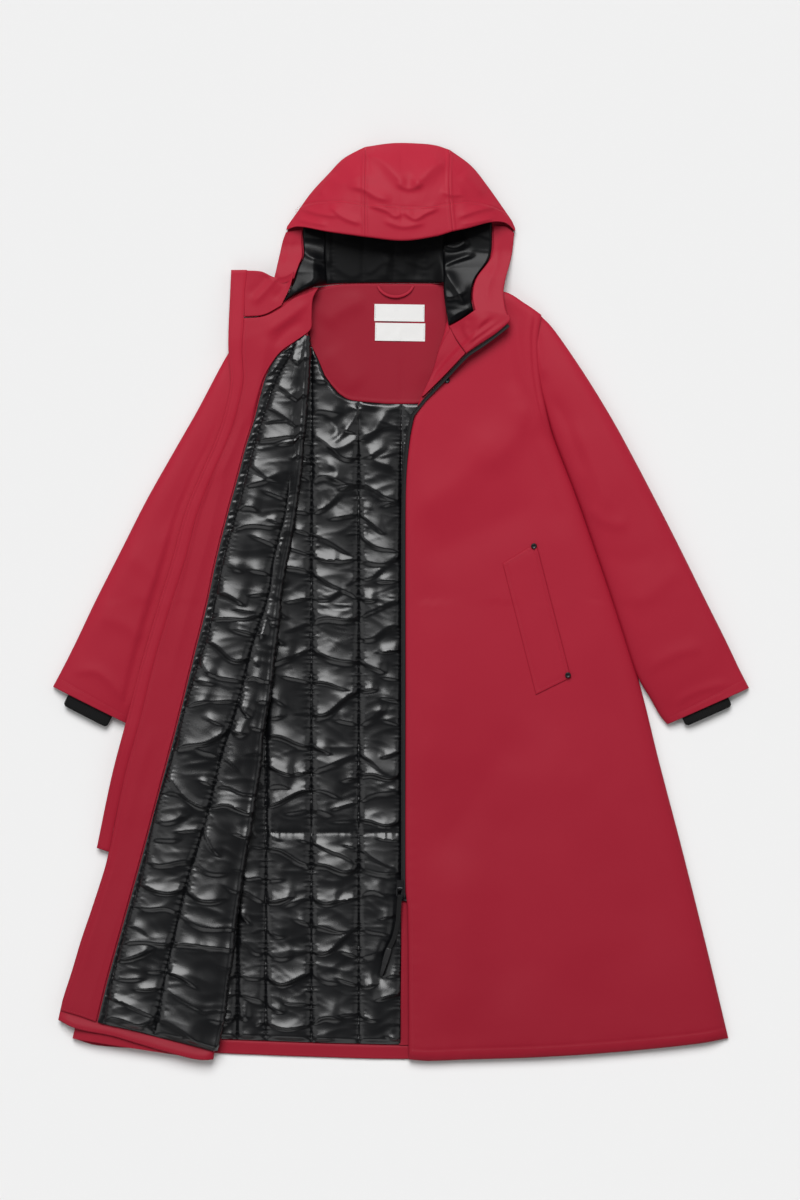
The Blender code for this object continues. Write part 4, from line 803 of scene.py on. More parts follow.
def back_yoke():
    """A smooth facing of shell cloth inside the back neck, edged with a bound seam."""
    lower = np.array([row for row in BACK_TOP if row[0] >= -139], float) * MM
    width, length = 0.210, 0.17
    share = spread(width, (0.0008, 0.002), 64)
    x_low = -0.139 + share * width
    y_low = np.interp(x_low, lower[:, 0], lower[:, 1])
    high = Line(YOKE_TOP).at(share)
    rows = spread(length, (0.0008, 0.002, 0.005), 56)[:, None]
    x, y = high[:, 0] + rows * (x_low - high[:, 0]), high[:, 1] + rows * (y_low - high[:, 1])
    edge = from_edges(rows, length)
    wave = 0.0007 * cloud(x, y, 0.07, 21) + folds(x, y, YOKE_FOLDS)
    piping = 0.0007 * bell((1 - rows) * length - 0.0022, 0.0012)
    z = LINING_UNDER + YOKE + wave * smoothstep(edge / 0.02) + piping - rounded(edge, 0.0008, 0.0009)
    outer = layer(x, y, z)
    cloth("back_yoke", outer, layer(x, y, LINING_UNDER), shaded_yoke_shell, ["back_shell"])
    sew("red", inset_row(outer, "low", 0.0045))


back_yoke()


# %% Facing of the back vent
def vent_facing():
    """The strip beside the vent, one with the hem band, just inside the closed front's edge."""
    panel = Panel([(3.5, -470), (32, -470)], [(-1.6, -692), (32, -692)],
                  [(3.5, -470), (-1.6, -692)], [(32, -470), (32, -692)])
    x, y = panel.grid(spread(0.030, (0.0006, 0.0015), 10), spread(0.222, (0.001,), 60))
    z = LINING_UNDER + 0.0030 + 0.0003 * cloud(x, y, 0.02, 5)
    outer = layer(x, y, z)
    cloth("vent_facing", outer, layer(x, y, LINING_UNDER), shaded_inside_shell, ["back_shell"])
    sew("red", inset_line(outer, "left", 0.0035))


vent_facing()

# %% [markdown]
# ## Left front
# The closed front is a padded panel of shell cloth with a zip along its centre edge. Its folds are
# few and broad: they hang from the shoulder and fan out toward the hem. The side rolls down to the
# seam and the hem is a stitched double layer with small puckers.

# %% Left front
FRONT_FOLDS = [
    ([(0, 130), (90, 190), (170, 290)], 34, 3.3),
    ([(20, 60), (120, 110), (230, 160)], 40, -2.9),
    ([(60, 20), (60, -150), (30, -300)], 46, 2.6),
    ([(200, -180), (120, -300), (40, -420)], 42, -2.9),
    ([(220, -160), (250, -380), (300, -640)], 52, 4.2),
    ([(150, -260), (160, -440), (170, -660)], 44, -3.5),
    ([(300, -60), (350, -300), (410, -600)], 46, -3.3),
    ([(90, -380), (90, -520), (80, -690)], 40, 2.9),
    ([(182, 452), (184, 400), (196, 344), (214, 300)], 9, 2.0),
    ([(160, 440), (168, 380), (180, 320)], 14, -1.4),
    ([(180, 300), (220, 200), (260, 90)], 26, -2.2),
    ([(205, 330), (180, 260), (120, 200)], 22, 2.2),
]


def left_front():
    panel = Panel(FRONT_TOP, FRONT_HEM, FRONT_EDGE, BODY_SIDE)
    columns = spread(0.36, (0.0006, 0.0015, 0.003, 0.006, 0.010, 0.015), 96,
                     (0.0006, 0.0015, 0.004, 0.009, 0.016))
    rows = spread(1.15, (0.0008, 0.003, 0.007), 236,
                  (0.0006, 0.0015, 0.003, 0.006, 0.010, 0.016, 0.0175, 0.019))
    x, y = panel.grid(columns, rows)
    across = reach_across(x, y)
    inward, outward = columns * across, (1 - columns) * across
    length = 1.16
    below, above = (1 - rows[:, None]) * length, rows[:, None] * length
    side = smoothstep((0.310 - y) / 0.060)
    drop = side_drop(outward, side) + rounded(inward, 0.010, 0.0045)
    drop = drop + rounded(below, 0.016, 0.0060) + rounded(above, 0.014, 0.0050)
    calm = smoothstep(inward / 0.04) * smoothstep(below / 0.05) * smoothstep(outward / 0.05)
    relief = (folds(x, y, FRONT_FOLDS) + 0.0006 * cloud(x, y, 0.11, 31) + 0.0003 * cloud(x, y, 0.04, 32)) * calm
    edge = 0.0005 * cloud(y, x, 0.035, 33) * bell(inward, 0.03)
    pucker = 0.0004 * tucks(0.5 * y, 35) * bell(inward - 0.009, 0.007) * smoothstep((-0.20 - y) / 0.1)
    armhole = (bell(outward - 0.0045, 0.0026) + 0.8 * bell(outward - 0.0150, 0.0040)
               - 0.6 * bell(outward - 0.0090, 0.0030)) * 0.0012 * (1.0 - side) * smoothstep(above / 0.03)
    hem = 0.0007 * cloud(x, y * 0.3, 0.014, 34) * bell(below - 0.012, 0.012)
    hem = hem + 0.0007 * tucks(0.42 * (x + 1.3 * below), 36) * bell(below - 0.009, 0.007)
    stitched = -0.0005 * bell(below - 0.0175, 0.0014) - 0.0003 * bell(inward - 0.008, 0.0012)
    z = FRONT_OVER - np.minimum(drop, 0.0118) + relief + edge + pucker + armhole + hem + stitched
    z = np.maximum(z, FRONT_LOW + 0.0016)
    over_lining = x < LINING_END
    turn = np.where(over_lining, FRONT_UNDER, FRONT_LOW)
    low = np.minimum(turn - 0.004 * (1 - smoothstep(below / 0.030)) * over_lining, z - 0.0012)
    outer = layer(x, y, z)
    cloth("left_front", outer, layer(x, y, low), shell, ["back_lining", "back_shell"], inner_finish=satin)
    sew("red", inset_row(outer, "low", 0.0178))
    sew("red", inset_line(outer, "left", 0.0085, 4))
    return outer


def side_drop(outward, side):
    """The padded edge rounds down to its seam, more along the body than at the armhole."""
    radius = ARMHOLE_ROLL + (SIDE_ROLL - ARMHOLE_ROLL) * side
    share = 1.0 - np.clip(outward / radius, 0.0, 1.0)
    return (0.0028 + 0.0107 * side) * (1.0 - np.sqrt(1.0 - share ** 2))


front_surface = left_front()

# %% [markdown]
# ## Lapel and collar of the left front
# Above the zip's last closed tooth the front rolls open. Its inside shows as a red facing with a
# rolled ridge beside the zip, and the collar is sewn on along a slanted seam.

# %% Lapel
ROLL = Line(ROLL_LINE)
LAPEL_RIDGE = [
    ([(178, 446), (150, 424), (118, 402), (94, 382), (66, 352), (38, 316)], 3.4, 1.9),
    ([(158, 442), (112, 408), (86, 386), (58, 354), (40, 330)], 3.2, 1.5),
    ([(160, 450), (120, 424), (90, 400), (60, 368), (36, 330)], 5, -1.2),
    ([(104, 440), (100, 424), (112, 404)], 7, 1.6, 1.8),
    ([(140, 446), (122, 428), (108, 400)], 7, 1.6, 1.8),
]


def lapel_lift(x, y):
    """How far the rolled lapel stands over the front below it."""
    return 0.0135 * smoothstep(np.abs(ROLL.near(x, y)[0]) / 0.050) * smoothstep((0.500 - y) / 0.060)


def on_front(name, panel, columns, rows, seed):
    """A piece of the lapel, over the front and risen with its roll."""
    x, y = panel.grid(columns, rows)
    low = FRONT_OVER + GAP + lapel_lift(x, y)
    u, v = np.asarray(columns)[None, :], np.asarray(rows)[:, None]
    edge = np.minimum(np.minimum(u, 1 - u), 1 - v) * 0.05
    z = low + 0.0043 + folds(x, y, LAPEL_RIDGE) + 0.0003 * cloud(x, y, 0.02, seed)
    z = z - rounded(edge, 0.0012, 0.0016)
    outer = layer(x, y, z)
    cloth(name, outer, layer(x, y, low), shaded_inside_shell, ["left_front"])
    return outer


def lapel():
    panel = Panel([(77, 427), (87, 407), (101, 386)], [(33, 320), (35, 320)],
                  [(77, 427), (60, 392), (50, 357), (33, 320)],
                  [(101, 386), (70.5, 354.5), (35, 320)])
    facing = on_front("left_facing", panel, spread(0.03, FINE, 24), spread(0.11, FINE, 60), 41)
    sew("red", inset_line(facing, "right", 0.0075, 4, -14))
    panel = Panel([(116, 454), (142, 452), (170, 445)], [(76, 429), (87, 408), (102, 386)],
                  [(116, 454), (97, 441), (76, 429)],
                  [(170, 445), (171, 438), (166, 432), (147, 416), (124, 401), (102, 386)])
    collar = on_front("left_collar", panel, spread(0.055, FINE, 34), spread(0.06, FINE, 40), 42)
    sew("red", inset_line(collar, "right", 0.0075, 2, -2))
    sew("red", inset_row(collar, "low", 0.002))


lapel()

# %% [markdown]
# ## Folded right front
# One sheet of shell cloth makes both leaves: it lies on the back, turns over at the fold and comes
# back on top with its inside up. It is built as one U-shaped layer, so the fold is a real bend.

# %% Right front
def right_front():
    turned = Panel(TURN_TOP, TURN_HEM, TURN_EDGE, FOLD)
    lower = Panel([(-220, 448), (-197, 463), (-157, 482), (-127, 490)],
                  [(-512, -681), (-478, -690), (-398, -697), (-285, -703)],
                  [(-a, b) for a, b in BODY_SIDE], FOLD)
    length, width = 1.19, 0.22
    rows = spread(length, (0.0008, 0.004), 140, (0.0008, 0.0016, 0.004, 0.0110, 0.0130))
    below = (1.0 - rows[:, None]) * length
    band = smoothstep((0.0130 - below) / 0.0020)
    columns = spread(width, (0.0008, 0.003, 0.008, 0.014, 0.022, 0.033, 0.045), 30, (0.013, 0.018))[:-1]
    x, y = turned.grid(columns, rows)
    sink = droop(x, y)
    inward = columns * width
    wave = 0.0004 * cloud(x, y, 0.03, 51) * smoothstep((0.03 - below) / 0.02) * band
    top = TURN_OVER + HEM_RISE * band - sink - rounded(inward, 0.0012, 0.0014) + wave
    top = top - rounded(below, 0.0016, 0.0012)
    under = TURN_UNDER - sink
    fold_x, fold_y = np.split(turned.right.at(rows), 2, axis=1)
    inset = 0.0012 + 0.0053 * smoothstep((0.450 - fold_y) / 0.022)
    nose, radius = fold_x - inset, (TURN_OVER - FRONT_UNDER) / 2
    turn = np.radians(np.linspace(75, -75, 11))
    middle = (TURN_OVER + FRONT_UNDER) / 2
    bend_x, bend_z = nose - radius + radius * np.cos(turn), middle + radius * np.sin(turn) + 0 * nose
    slit = np.linspace(0.0, 1.0, 11)
    inner_bend_x = nose - 0.008 - 0.004 * np.abs(slit - 0.5) * 2
    inner_bend_z = TURN_UNDER - 0.0003 + 0.0003 * np.cos(np.pi * slit) + 0 * nose
    side_x, side_y = np.split(lower.left.at(rows), 2, axis=1)
    reach = spread(0.16, (0.002, 0.006, 0.012), 20, (0.0008, 0.003, 0.008, 0.016, 0.028, 0.045))[None, :]
    begin = nose - 0.013
    lower_x = begin + (side_x - begin) * reach
    lower_y = fold_y + (side_y - fold_y) * reach
    outward = np.abs(lower_x - side_x)
    step = np.clip(across_at(LINING_LEFT, fold_y), side_x + 0.030, nose - 0.020)
    bottom_z = FRONT_LOW + (FRONT_UNDER - FRONT_LOW) * smoothstep((lower_x - step + 0.004) / 0.006)
    roll = np.minimum(SIDE_ROLL, (begin - side_x) * 0.4)
    share = 1.0 - np.clip(outward / roll, 0, 1)
    top_z = TURN_UNDER - 0.0006 - 0.0105 * (1 - np.sqrt(1 - share ** 2))
    bottom_z = np.minimum(bottom_z, top_z - 0.0012)
    outer = np.concatenate([layer(x, y, top), layer(bend_x, fold_y + 0 * bend_x, bend_z),
                            layer(lower_x, lower_y, bottom_z)], 1)
    inner = np.concatenate([layer(x, y, under), layer(inner_bend_x, fold_y + 0 * inner_bend_x, inner_bend_z),
                            layer(lower_x, lower_y, top_z)], 1)
    cloth("right_front", outer, inner, shell, ["back_shell", "back_lining", "right_sleeve"], held="folded")
    sew("red", inset_row(outer[:, :len(columns)], "low", 0.0035))


right_front()

# %% [markdown]
# ## Facing, storm flap and collar of the right front
# The turned leaf shows the coat's inside edge. A red facing runs down it, with the storm flap under
# its outer edge and the collar at its top. A soft ridge runs along the facing where its two layers
# have rolled.

# %% Facing
FACING_FOLDS = [
    ([(-206, 436), (-214, 380), (-226, 320), (-244, 262)], 13, 2.3, 1.0),
    ([(-246, 410), (-252, 350), (-262, 296), (-280, 236)], 9, -1.5),
    ([(-240, 300), (-262, 236), (-290, 180)], 7, 1.1),
    ([(-258, 262), (-276, 200), (-300, 100), (-336, -30), (-366, -150)], 9, 1.3),
    ([(-270, 262), (-296, 180), (-322, 90), (-350, -40)], 10, -1.0),
    ([(-140, 470), (-176, 440), (-214, 416)], 11, 2.4, 1.8),
    ([(-146, 440), (-176, 424), (-200, 396)], 8, -1.8),
    ([(-380, -180), (-410, -280), (-436, -380)], 10, 1.0),
    ([(-440, -380), (-470, -470), (-500, -590)], 10, 1.2),
]


def right_facing():
    panel = Panel(TURN_TOP, FACING_LOW, TURN_EDGE[:-1] + [(-530, -637)], FACING_IN)
    length = 1.14
    columns, rows = spread(0.056, (0.0005, 0.0012, 0.0025), 30), spread(length, (0.0006, 0.002), 270)
    x, y = panel.grid(columns, rows)
    across = reach_across(x, y)
    inward, outward = columns * across, (1 - columns) * across
    edge = np.minimum(np.minimum(inward, outward), from_edges(rows[:, None], length))
    low = FACING_UNDER - droop(x, y) - 0.0006
    relief = (folds(x, y, FACING_FOLDS) + 0.0004 * cloud(x, y, 0.04, 61)) * smoothstep(edge / 0.01)
    gather = 0.0005 * tucks(-y, 62) * bell(outward, 0.006, 1)
    z = low + 0.0030 + relief + gather - rounded(edge, 0.0010, 0.0010)
    outer = layer(x, y, z)
    cloth("right_facing", outer, layer(x, y, low), shaded_inside_shell, ["right_front"])
    sew("red", inset_line(outer, "left", 0.0060, 4, -4))
    sew("red", inset_row(outer, "low", 0.004))


right_facing()


# %% Storm flap
def storm_flap():
    """The narrow double flap that covers the zip on the wearer's right."""
    inner_edge = [(a - 0.2, b) for a, b in [(-239, 518), (-243, 480)] + TURN_EDGE[:15]]
    panel = Panel([(-264, 518), (-239.2, 518)], [(-474, -384), (-455.2, -390)], FLAP_EDGE, inner_edge)
    length = 0.98
    columns, rows = spread(0.021, FINE, 12), spread(length, FINE, 200)
    x, y = panel.grid(columns, rows)
    across = reach_across(x, y)
    inward, outward = columns * across, (1 - columns) * across
    edge = np.minimum(inward, from_edges(rows[:, None], length))
    low = TURN_UNDER - droop(x, y)
    seam = 0.0004 * bell(inward - 0.0055, 0.0012)
    z = low + 0.0046 - seam - rounded(edge, 0.0014, 0.0026) - 0.0009 * bell(outward, 0.0025)
    z = z + 0.0003 * cloud(x, y, 0.025, 63)
    outer = layer(x, y, z)
    cloth("storm_flap", outer, layer(x, y, low), shell, ["right_sleeve", "right_front"])
    sew("red", inset_line(outer, "left", 0.0055, 3, -3))


storm_flap()

# %% Collar of the right front
COLLAR_FOLDS = [
    ([(-188, 512), (-206, 490), (-232, 462)], 9, 2.2, 1.5),
    ([(-200, 514), (-220, 492), (-240, 474)], 8, -1.4),
    ([(-172, 512), (-182, 490), (-200, 468)], 7, -1.4),
    ([(-196, 506), (-182, 500), (-168, 510)], 6, -1.6),
]


def right_collar():
    panel = Panel([(-239.5, 517), (-216, 515), (-196, 506), (-178, 507), (-166, 515)],
                  [(-243.5, 444.6), (-213, 447.4), (-186, 461.5)],
                  [(-239.5, 517), (-243.5, 480), (-243.5, 444.6)], [(-166, 515), (-172, 491), (-186, 461.5)])
    width, length = 0.065, 0.06
    columns, rows = spread(width, FINE, 40), spread(length, FINE, 40)
    x, y = panel.grid(columns, rows)
    u, v = columns[None, :], rows[:, None]
    free = np.minimum(u * width, v * length + 0.010 * smoothstep((u - 0.55) / 0.2))
    edge = np.minimum(from_edges(u, width), from_edges(v, length))
    low = TURN_UNDER - droop(x, y)
    z = low + 0.0054 + folds(x, y, COLLAR_FOLDS) * smoothstep(edge / 0.006)
    z = z - rounded(free, 0.0012, 0.0016) - rounded((1 - v) * length, 0.0010, 0.0008)
    outer = layer(x, y, z)
    cloth("right_collar", outer, layer(x, y, low), shaded_inside_shell, ["right_front", "hood_facing_right"])
    sew("red", inset_row(outer, "top", 0.0065))


right_collar()


# %% Quilted lining of the turned leaf
def right_lining():
    """Three channels that follow the leaf's own stitch lines. The last one rolls over the fold.

    Near the neck, where the second row of stitches ends, the last two channels merge into one."""
    edge = Line([(-174, 397)] + [(a + 2.4, b) for a, b in FACING_IN[5:]])
    nose = Line([(-139, 415)] + FOLD[4:-1] + [(-283, -699)])
    length = 1.12
    rows = spread(length, (0.0012, 0.003), 600)
    lines = [rail.at(rows) for rail in (edge, Line(STITCH_1), Line(STITCH_2), nose)]
    fold_x, fold_y = lines[3][:, :1].copy(), lines[3][:, 1:]
    lines[2][:, 0] = np.minimum(lines[2][:, 0], fold_x[:, 0] - 0.018)
    lines[3] = np.stack([fold_x[:, 0] - 0.0100, fold_y[:, 0]], 1)
    xs, ys, zs = [], [], []
    shares = [spread(1.0, (0.06, 0.15, 0.28), 4), spread(0.065, BESIDE_STITCHES, 13),
              spread(0.065, BESIDE_STITCHES, 15, (0.003,))]
    columns = [len(part) - 1 for part in shares]
    for index in range(3):
        share = shares[index][:-1][None, :]
        left, right = lines[index], lines[index + 1]
        x = left[:, :1] + share * (right[:, :1] - left[:, :1])
        y = left[:, 1:] + share * (right[:, 1:] - left[:, 1:])
        width = np.maximum(right[:, :1] - left[:, :1] if index < 2 else (fold_x - left[:, :1]) / 0.88, 0.002)
        along = rows[:, None] * length + 0 * share
        relief = channel((x - left[:, :1]) / width, along, width, (60 + index, 61 + index),
                         (0.0022, 0.0050, 0.0052)[index], gathers=0.5 if index == 0 else 1.0)
        if index == 0:
            relief = relief + 0.0004 * tucks(0.8 * along, 95) * np.sin(np.pi * share) ** 0.7
        else:
            broad = (fold_x - lines[1][:, :1]) / 0.90
            whole = channel((x - lines[1][:, :1]) / broad, along, broad, (61, 68), 0.0052)
            merged = smoothstep((y - 0.165) / 0.045)
            rolled = np.clip(1.0 - (fold_x - x) / 0.028, 0.0, 1.0)
            relief = relief + merged * (whole - relief)
            relief = relief * (1.0 - (0.40 + 0.35 * merged) * rolled ** 1.8)
            relief = relief - 0.0032 * (1.0 - np.sqrt(1.0 - 0.96 * rolled ** 2.0))
        xs.append(x), ys.append(y), zs.append(relief)
    x, y, relief = (np.concatenate(part, 1) for part in (xs, ys, zs))
    ends = smoothstep((1.0 - rows) * length / 0.010 + 0.1) * smoothstep(rows * length / 0.010 + 0.2)
    z = FACING_UNDER + 0.0026 + np.clip(relief, -0.0018, 0.0125) * ends[:, None] - droop(x, y)
    crown = z[:, -1:]
    turn = np.radians(np.linspace(98, -82, 20))[None, :]
    middle, reach = (crown + 0.0103) / 2, (crown - 0.0103) / 2
    wave = 0.0009 * tucks(rows * 0.6, 99)[:, None] * np.cos(turn) + 0.0014 * cloud(fold_y, fold_y * 0, 0.05, 71)
    wave = np.minimum(wave + 0.35 * (crown - crown.mean()), 0.0022)
    bend_x = fold_x - 0.0085 + (0.0085 + wave) * np.cos(turn)
    bend_z = middle + reach * np.sin(turn)
    outer = np.concatenate([layer(x, y, z), layer(bend_x, fold_y + 0 * bend_x, bend_z)], 1)
    start_x, start_y = np.split(lines[0], 2, axis=1)
    across = np.linspace(0, 1, sum(columns))[None, :]
    back_x = start_x + (fold_x - 0.0125 - start_x) * across
    back_y = start_y + (fold_y - start_y) * across
    inner_turn = np.radians(np.linspace(60, -50, 20))[None, :]
    inner_x = fold_x - 0.0118 + 0.00615 * np.cos(inner_turn)
    inner_z = 0.01525 + 0.00615 * np.sin(inner_turn) + 0 * fold_x
    inner = np.concatenate([layer(back_x, back_y, FACING_UNDER + 0.0002 - droop(back_x, back_y)),
                            layer(inner_x, fold_y + 0 * inner_x, inner_z)], 1)
    cloth("right_lining", outer, inner, satin, ["right_front"], padding=0.5, lean=34)
    for column, start in ((columns[0], 4), (sum(columns[:2]), int(0.16 / length * len(rows))), (1, 4)):
        sew("black", outer[start:-4, column], width=QUILT_THREAD)


right_lining()

# %% [markdown]
# ## Sleeves
# A padded sleeve laid flat is a soft tube: nearly flat below, rounded above, thickest in the
# middle of the arm. The seam edge rolls under, and shallow folds run out from the armpit and the
# elbow. The mouth is open, and the rib cuff comes out of it.

# %% Sleeve stations and folds
LEFT_SLEEVE = [((220, 448), (227, 300), 16), ((243, 423), (242, 254), 19), ((289, 356), (260, 207), 22),
               ((333, 284), (282, 149), 24), ((369, 218), (303, 88), 25), ((404, 151), (325, 24), 25),
               ((441, 78), (346, -40), 25), ((478, 3), (370, -112), 24), ((510, -61), (393, -153), 22),
               ((530, -103), (406, -176), 19), ((546, -134), (418, -191), 18)]
RIGHT_SLEEVE = [((-220, 448), (-227, 300), 15), ((-240, 432), (-242, 254), 16),
                ((-273, 384), (-260, 207), 17), ((-318, 300), (-282, 149), 18),
                ((-354, 237), (-303, 88), 19), ((-398, 159), (-325, 24), 20),
                ((-438, 80), (-346, -40), 21), ((-477, 3), (-370, -112), 21),
                ((-507, -60), (-393, -153), 20), ((-527, -100), (-409, -175), 19),
                ((-544, -132), (-424, -192), 18)]
ARMHOLE_BOW = (1.0, 0.7, 0.4, 0.2, 0.1, 0, 0, 0, 0, 0, 0)
SEAM_GAP, MOUTH_SEAM = -0.0015, 9.55
LEFT_SLEEVE_FOLDS = [
    ([(210, 440), (216, 390), (226, 340)], 8, 2.2),
    ([(238, 420), (300, 310), (370, 180), (440, 50)], 20, 2.2),
    ([(232, 330), (262, 270), (290, 190)], 12, -2.2),
    ([(262, 290), (300, 210), (330, 120)], 16, 2.0),
    ([(286, 150), (320, 124), (360, 120)], 12, 1.7, 1.6),
    ([(310, 80), (350, 62), (404, 76)], 16, -1.0),
    ([(350, -10), (400, 20), (440, 60)], 18, 1.2, 1.3),
    ([(376, -110), (430, -80), (480, -70)], 13, 1.5, 1.5),
    ([(420, -164), (460, -140), (520, -124)], 9, 1.3, 1.4),
    ([(420, 90), (470, 0), (516, -90)], 18, 2.0),
]
RIGHT_SLEEVE_FOLDS = [
    ([(-246, 410), (-300, 320), (-352, 215), (-410, 100)], 20, 2.2),
    ([(-300, 260), (-340, 170), (-380, 90)], 18, -1.8),
    ([(-440, 80), (-400, 56), (-352, 10)], 18, 1.2, 1.3),
    ([(-480, -20), (-430, -36), (-385, -70)], 15, 1.4, 1.5),
    ([(-400, 110), (-450, 10), (-500, -80)], 18, 2.0),
    ([(-520, -110), (-470, -110), (-424, -160)], 11, 1.8, 1.5),
]


def spline(values, place):
    """Smooth values between equally spaced stations."""
    values = np.array(values, float)
    padded = np.concatenate([[2 * values[0] - values[1]], values, [2 * values[-1] - values[-2]]])
    index = np.clip(np.floor(place).astype(int), 0, len(values) - 2)
    share = place - index
    before, start, end, after = (padded[index + k] for k in range(4))
    return 0.5 * (2 * start + (end - before) * share
                  + (2 * before - 5 * start + 4 * end - after) * share ** 2
                  + (3 * start - before - 3 * end + after) * share ** 3)


# %% Sleeves
def sleeve(name, stations, side, creases, seed):
    """A soft tube through stations, each given by its two edges on the table and its height in mm."""
    armhole = Line([(side * a, b) for a, b in BODY_SIDE[:4]])
    place = np.concatenate([np.linspace(0, 9.95, 126), [9.97, 9.985, 9.994, 10.0]])[:, None]
    angle = np.linspace(0, 2 * np.pi, 97)[:-1][None, :]
    share = 0.5 - 0.5 * np.cos(angle)
    out, within = (np.stack([spline([s[k][axis] for s in stations], place) for axis in range(2)], -1) * MM
                   for k in (0, 1))
    height = spline([s[2] for s in stations], place) * MM
    bow = spline(ARMHOLE_BOW, place)
    curve = armhole.at(share[0])[None]
    ends = np.array([stations[0][0], stations[0][1]], float) * MM
    straight = ends[0] + share[..., None] * (ends[1] - ends[0])
    flat = out + share[..., None] * (within - out) + bow[..., None] * (curve - straight)
    x, y = flat[..., 0] + side * SEAM_GAP, flat[..., 1]
    rise = np.abs(np.sin(angle))
    middle = 0.23 * height
    upper = middle + (height - middle) * rise ** 0.62
    if side < 0:
        clear = np.clip(across_at(FLAP_EDGE, y) - x - 0.012, 0, None)
        upper = np.minimum(upper, TURN_UNDER - 0.0014 - droop(x, y) + 0.6 * clear)
    relief = (folds(x, y, creases) + 0.0006 * cloud(x, y, 0.05, seed)) * rise
    mouth = smoothstep((place - 9.45) / 0.5)
    hem = 0.0005 * cloud(x, y, 0.011, seed + 1) * smoothstep((place - 9.6) / 0.2) * rise
    stitched = -0.0005 * bell(place - MOUTH_SEAM, 0.03) * rise
    covered = smoothstep((across_at(FLAP_EDGE, y) - x) / 0.02) if side < 0 else 1.0
    upper = upper + (relief + hem + stitched) * covered
    z = np.where(angle <= np.pi, upper, middle * (1.0 - rise ** 0.3))
    lip = smoothstep((place - 9.97) / 0.03)
    z = z + np.where(angle <= np.pi, -0.0008, 0.0006) * lip
    outer = layer(x, y, z)
    centre = flat.mean(1, keepdims=True)
    reach = 0.60 + 0.28 * smoothstep(place / 2.0) + 0.06 * mouth
    inner_flat = centre + reach[..., None] * (flat - centre)
    inner_top = middle + (height - middle) * rise ** 0.62
    if side < 0:
        inner_top = np.minimum(inner_top, 0.0165)
    wall = 0.0030 - 0.0009 * mouth
    opened = np.where(angle <= np.pi, inner_top - wall, wall)
    slit = inner_top / 2 + np.where(angle <= np.pi, 0.0006, -0.0006)
    inner_z = slit * (1 - mouth) + opened * mouth
    inner_z = np.where(rise < 0.02, middle, inner_z)
    inner = layer(inner_flat[..., 0] + side * SEAM_GAP, inner_flat[..., 1], inner_z)
    cloth(name, outer, inner, shell, ["table"], inner_finish=satin, closed=True)
    row = int(np.argmin(np.abs(place[:, 0] - MOUTH_SEAM)))
    sew("red", outer[row, 1:47])


sleeve("left_sleeve", LEFT_SLEEVE, 1, LEFT_SLEEVE_FOLDS, 81)
sleeve("right_sleeve", RIGHT_SLEEVE, -1, RIGHT_SLEEVE_FOLDS, 83)


# %% Rib cuffs
def cuff(name, outer_side, inner_side, along, side):
    """A knitted tube with upright ribs, pushed flat."""
    reach = np.linspace(along[0], along[-1], 14)[:, None]
    angle = np.linspace(0, 2 * np.pi, 385)[:-1][None, :]
    start, end = np.array(outer_side) * MM, np.array(inner_side) * MM
    ribs = 0.00035 * np.cos(76 * angle)
    end_roll = rounded(along[-1] - reach, 0.003, 0.0012)
    made = []
    for half_width, half_height, rib_side in ((0.50, 0.0046, 1.0), (0.46, 0.0018, -0.5)):
        share = 0.5 + (half_width - rounded(along[-1] - reach, 0.006, 0.05)) * np.cos(angle)
        bulge = np.sign(np.sin(angle)) * np.abs(np.sin(angle)) ** 0.5
        x = start[0] + share * (end[0] - start[0]) + side * 0.45 * reach
        y = start[1] + share * (end[1] - start[1]) - 0.893 * reach
        z = 0.0090 + (half_height + rib_side * ribs - rib_side * end_roll) * bulge
        made.append(layer(x, y, z))
    cloth(name, made[0], made[1], rib, [name.replace("cuff", "sleeve")], closed=True)


cuff("left_cuff", (512, -150), (440, -182), (-0.020, 0.0135), 1)
cuff("right_cuff", (-520, -148), (-452, -183), (-0.018, 0.0145), -1)

# %% [markdown]
# ## Hood
# Three shell panels make the hood's dome: a middle one and two sides. It lies on its own back, so
# the brim faces the neck and the quilted lining shows under it. The brim is a stitched tunnel.

# %% Hood outlines
HOOD_TOP_RIGHT = [(-178, 586), (-161, 610), (-140, 639), (-114, 667), (-91, 691), (-69, 704),
                  (-55, 710.5)]
HOOD_TOP_MIDDLE = [(-54.8, 710.5), (-12, 716.5), (29, 716), (56, 713), (77, 706)]
HOOD_TOP_LEFT = [(77.2, 706), (111, 681), (137, 649), (162, 614), (175, 595), (180, 584)]
BRIM_RIGHT = [(-178, 581), (-160, 585), (-113, 575), (-55, 566)]
BRIM_MIDDLE = [(-54.8, 566), (4, 560), (55, 567), (81, 575)]
BRIM_LEFT = [(81.2, 575), (107, 581), (141, 591), (164, 591), (179, 579)]
CROWN_SEAM_RIGHT = [(-55, 710.5), (-56, 640), (-55, 566)]
CROWN_SEAM_LEFT = [(77, 706), (76, 640), (81, 575)]
BRIM_SEAM = [(-170, 600), (-157, 618), (-100, 624), (-58, 618), (-22, 615), (17, 612), (56, 615),
             (107, 622), (158, 612), (172, 600)]
HOOD_OUTLINE = Line(HOOD_TOP_RIGHT + HOOD_TOP_MIDDLE + HOOD_TOP_LEFT)
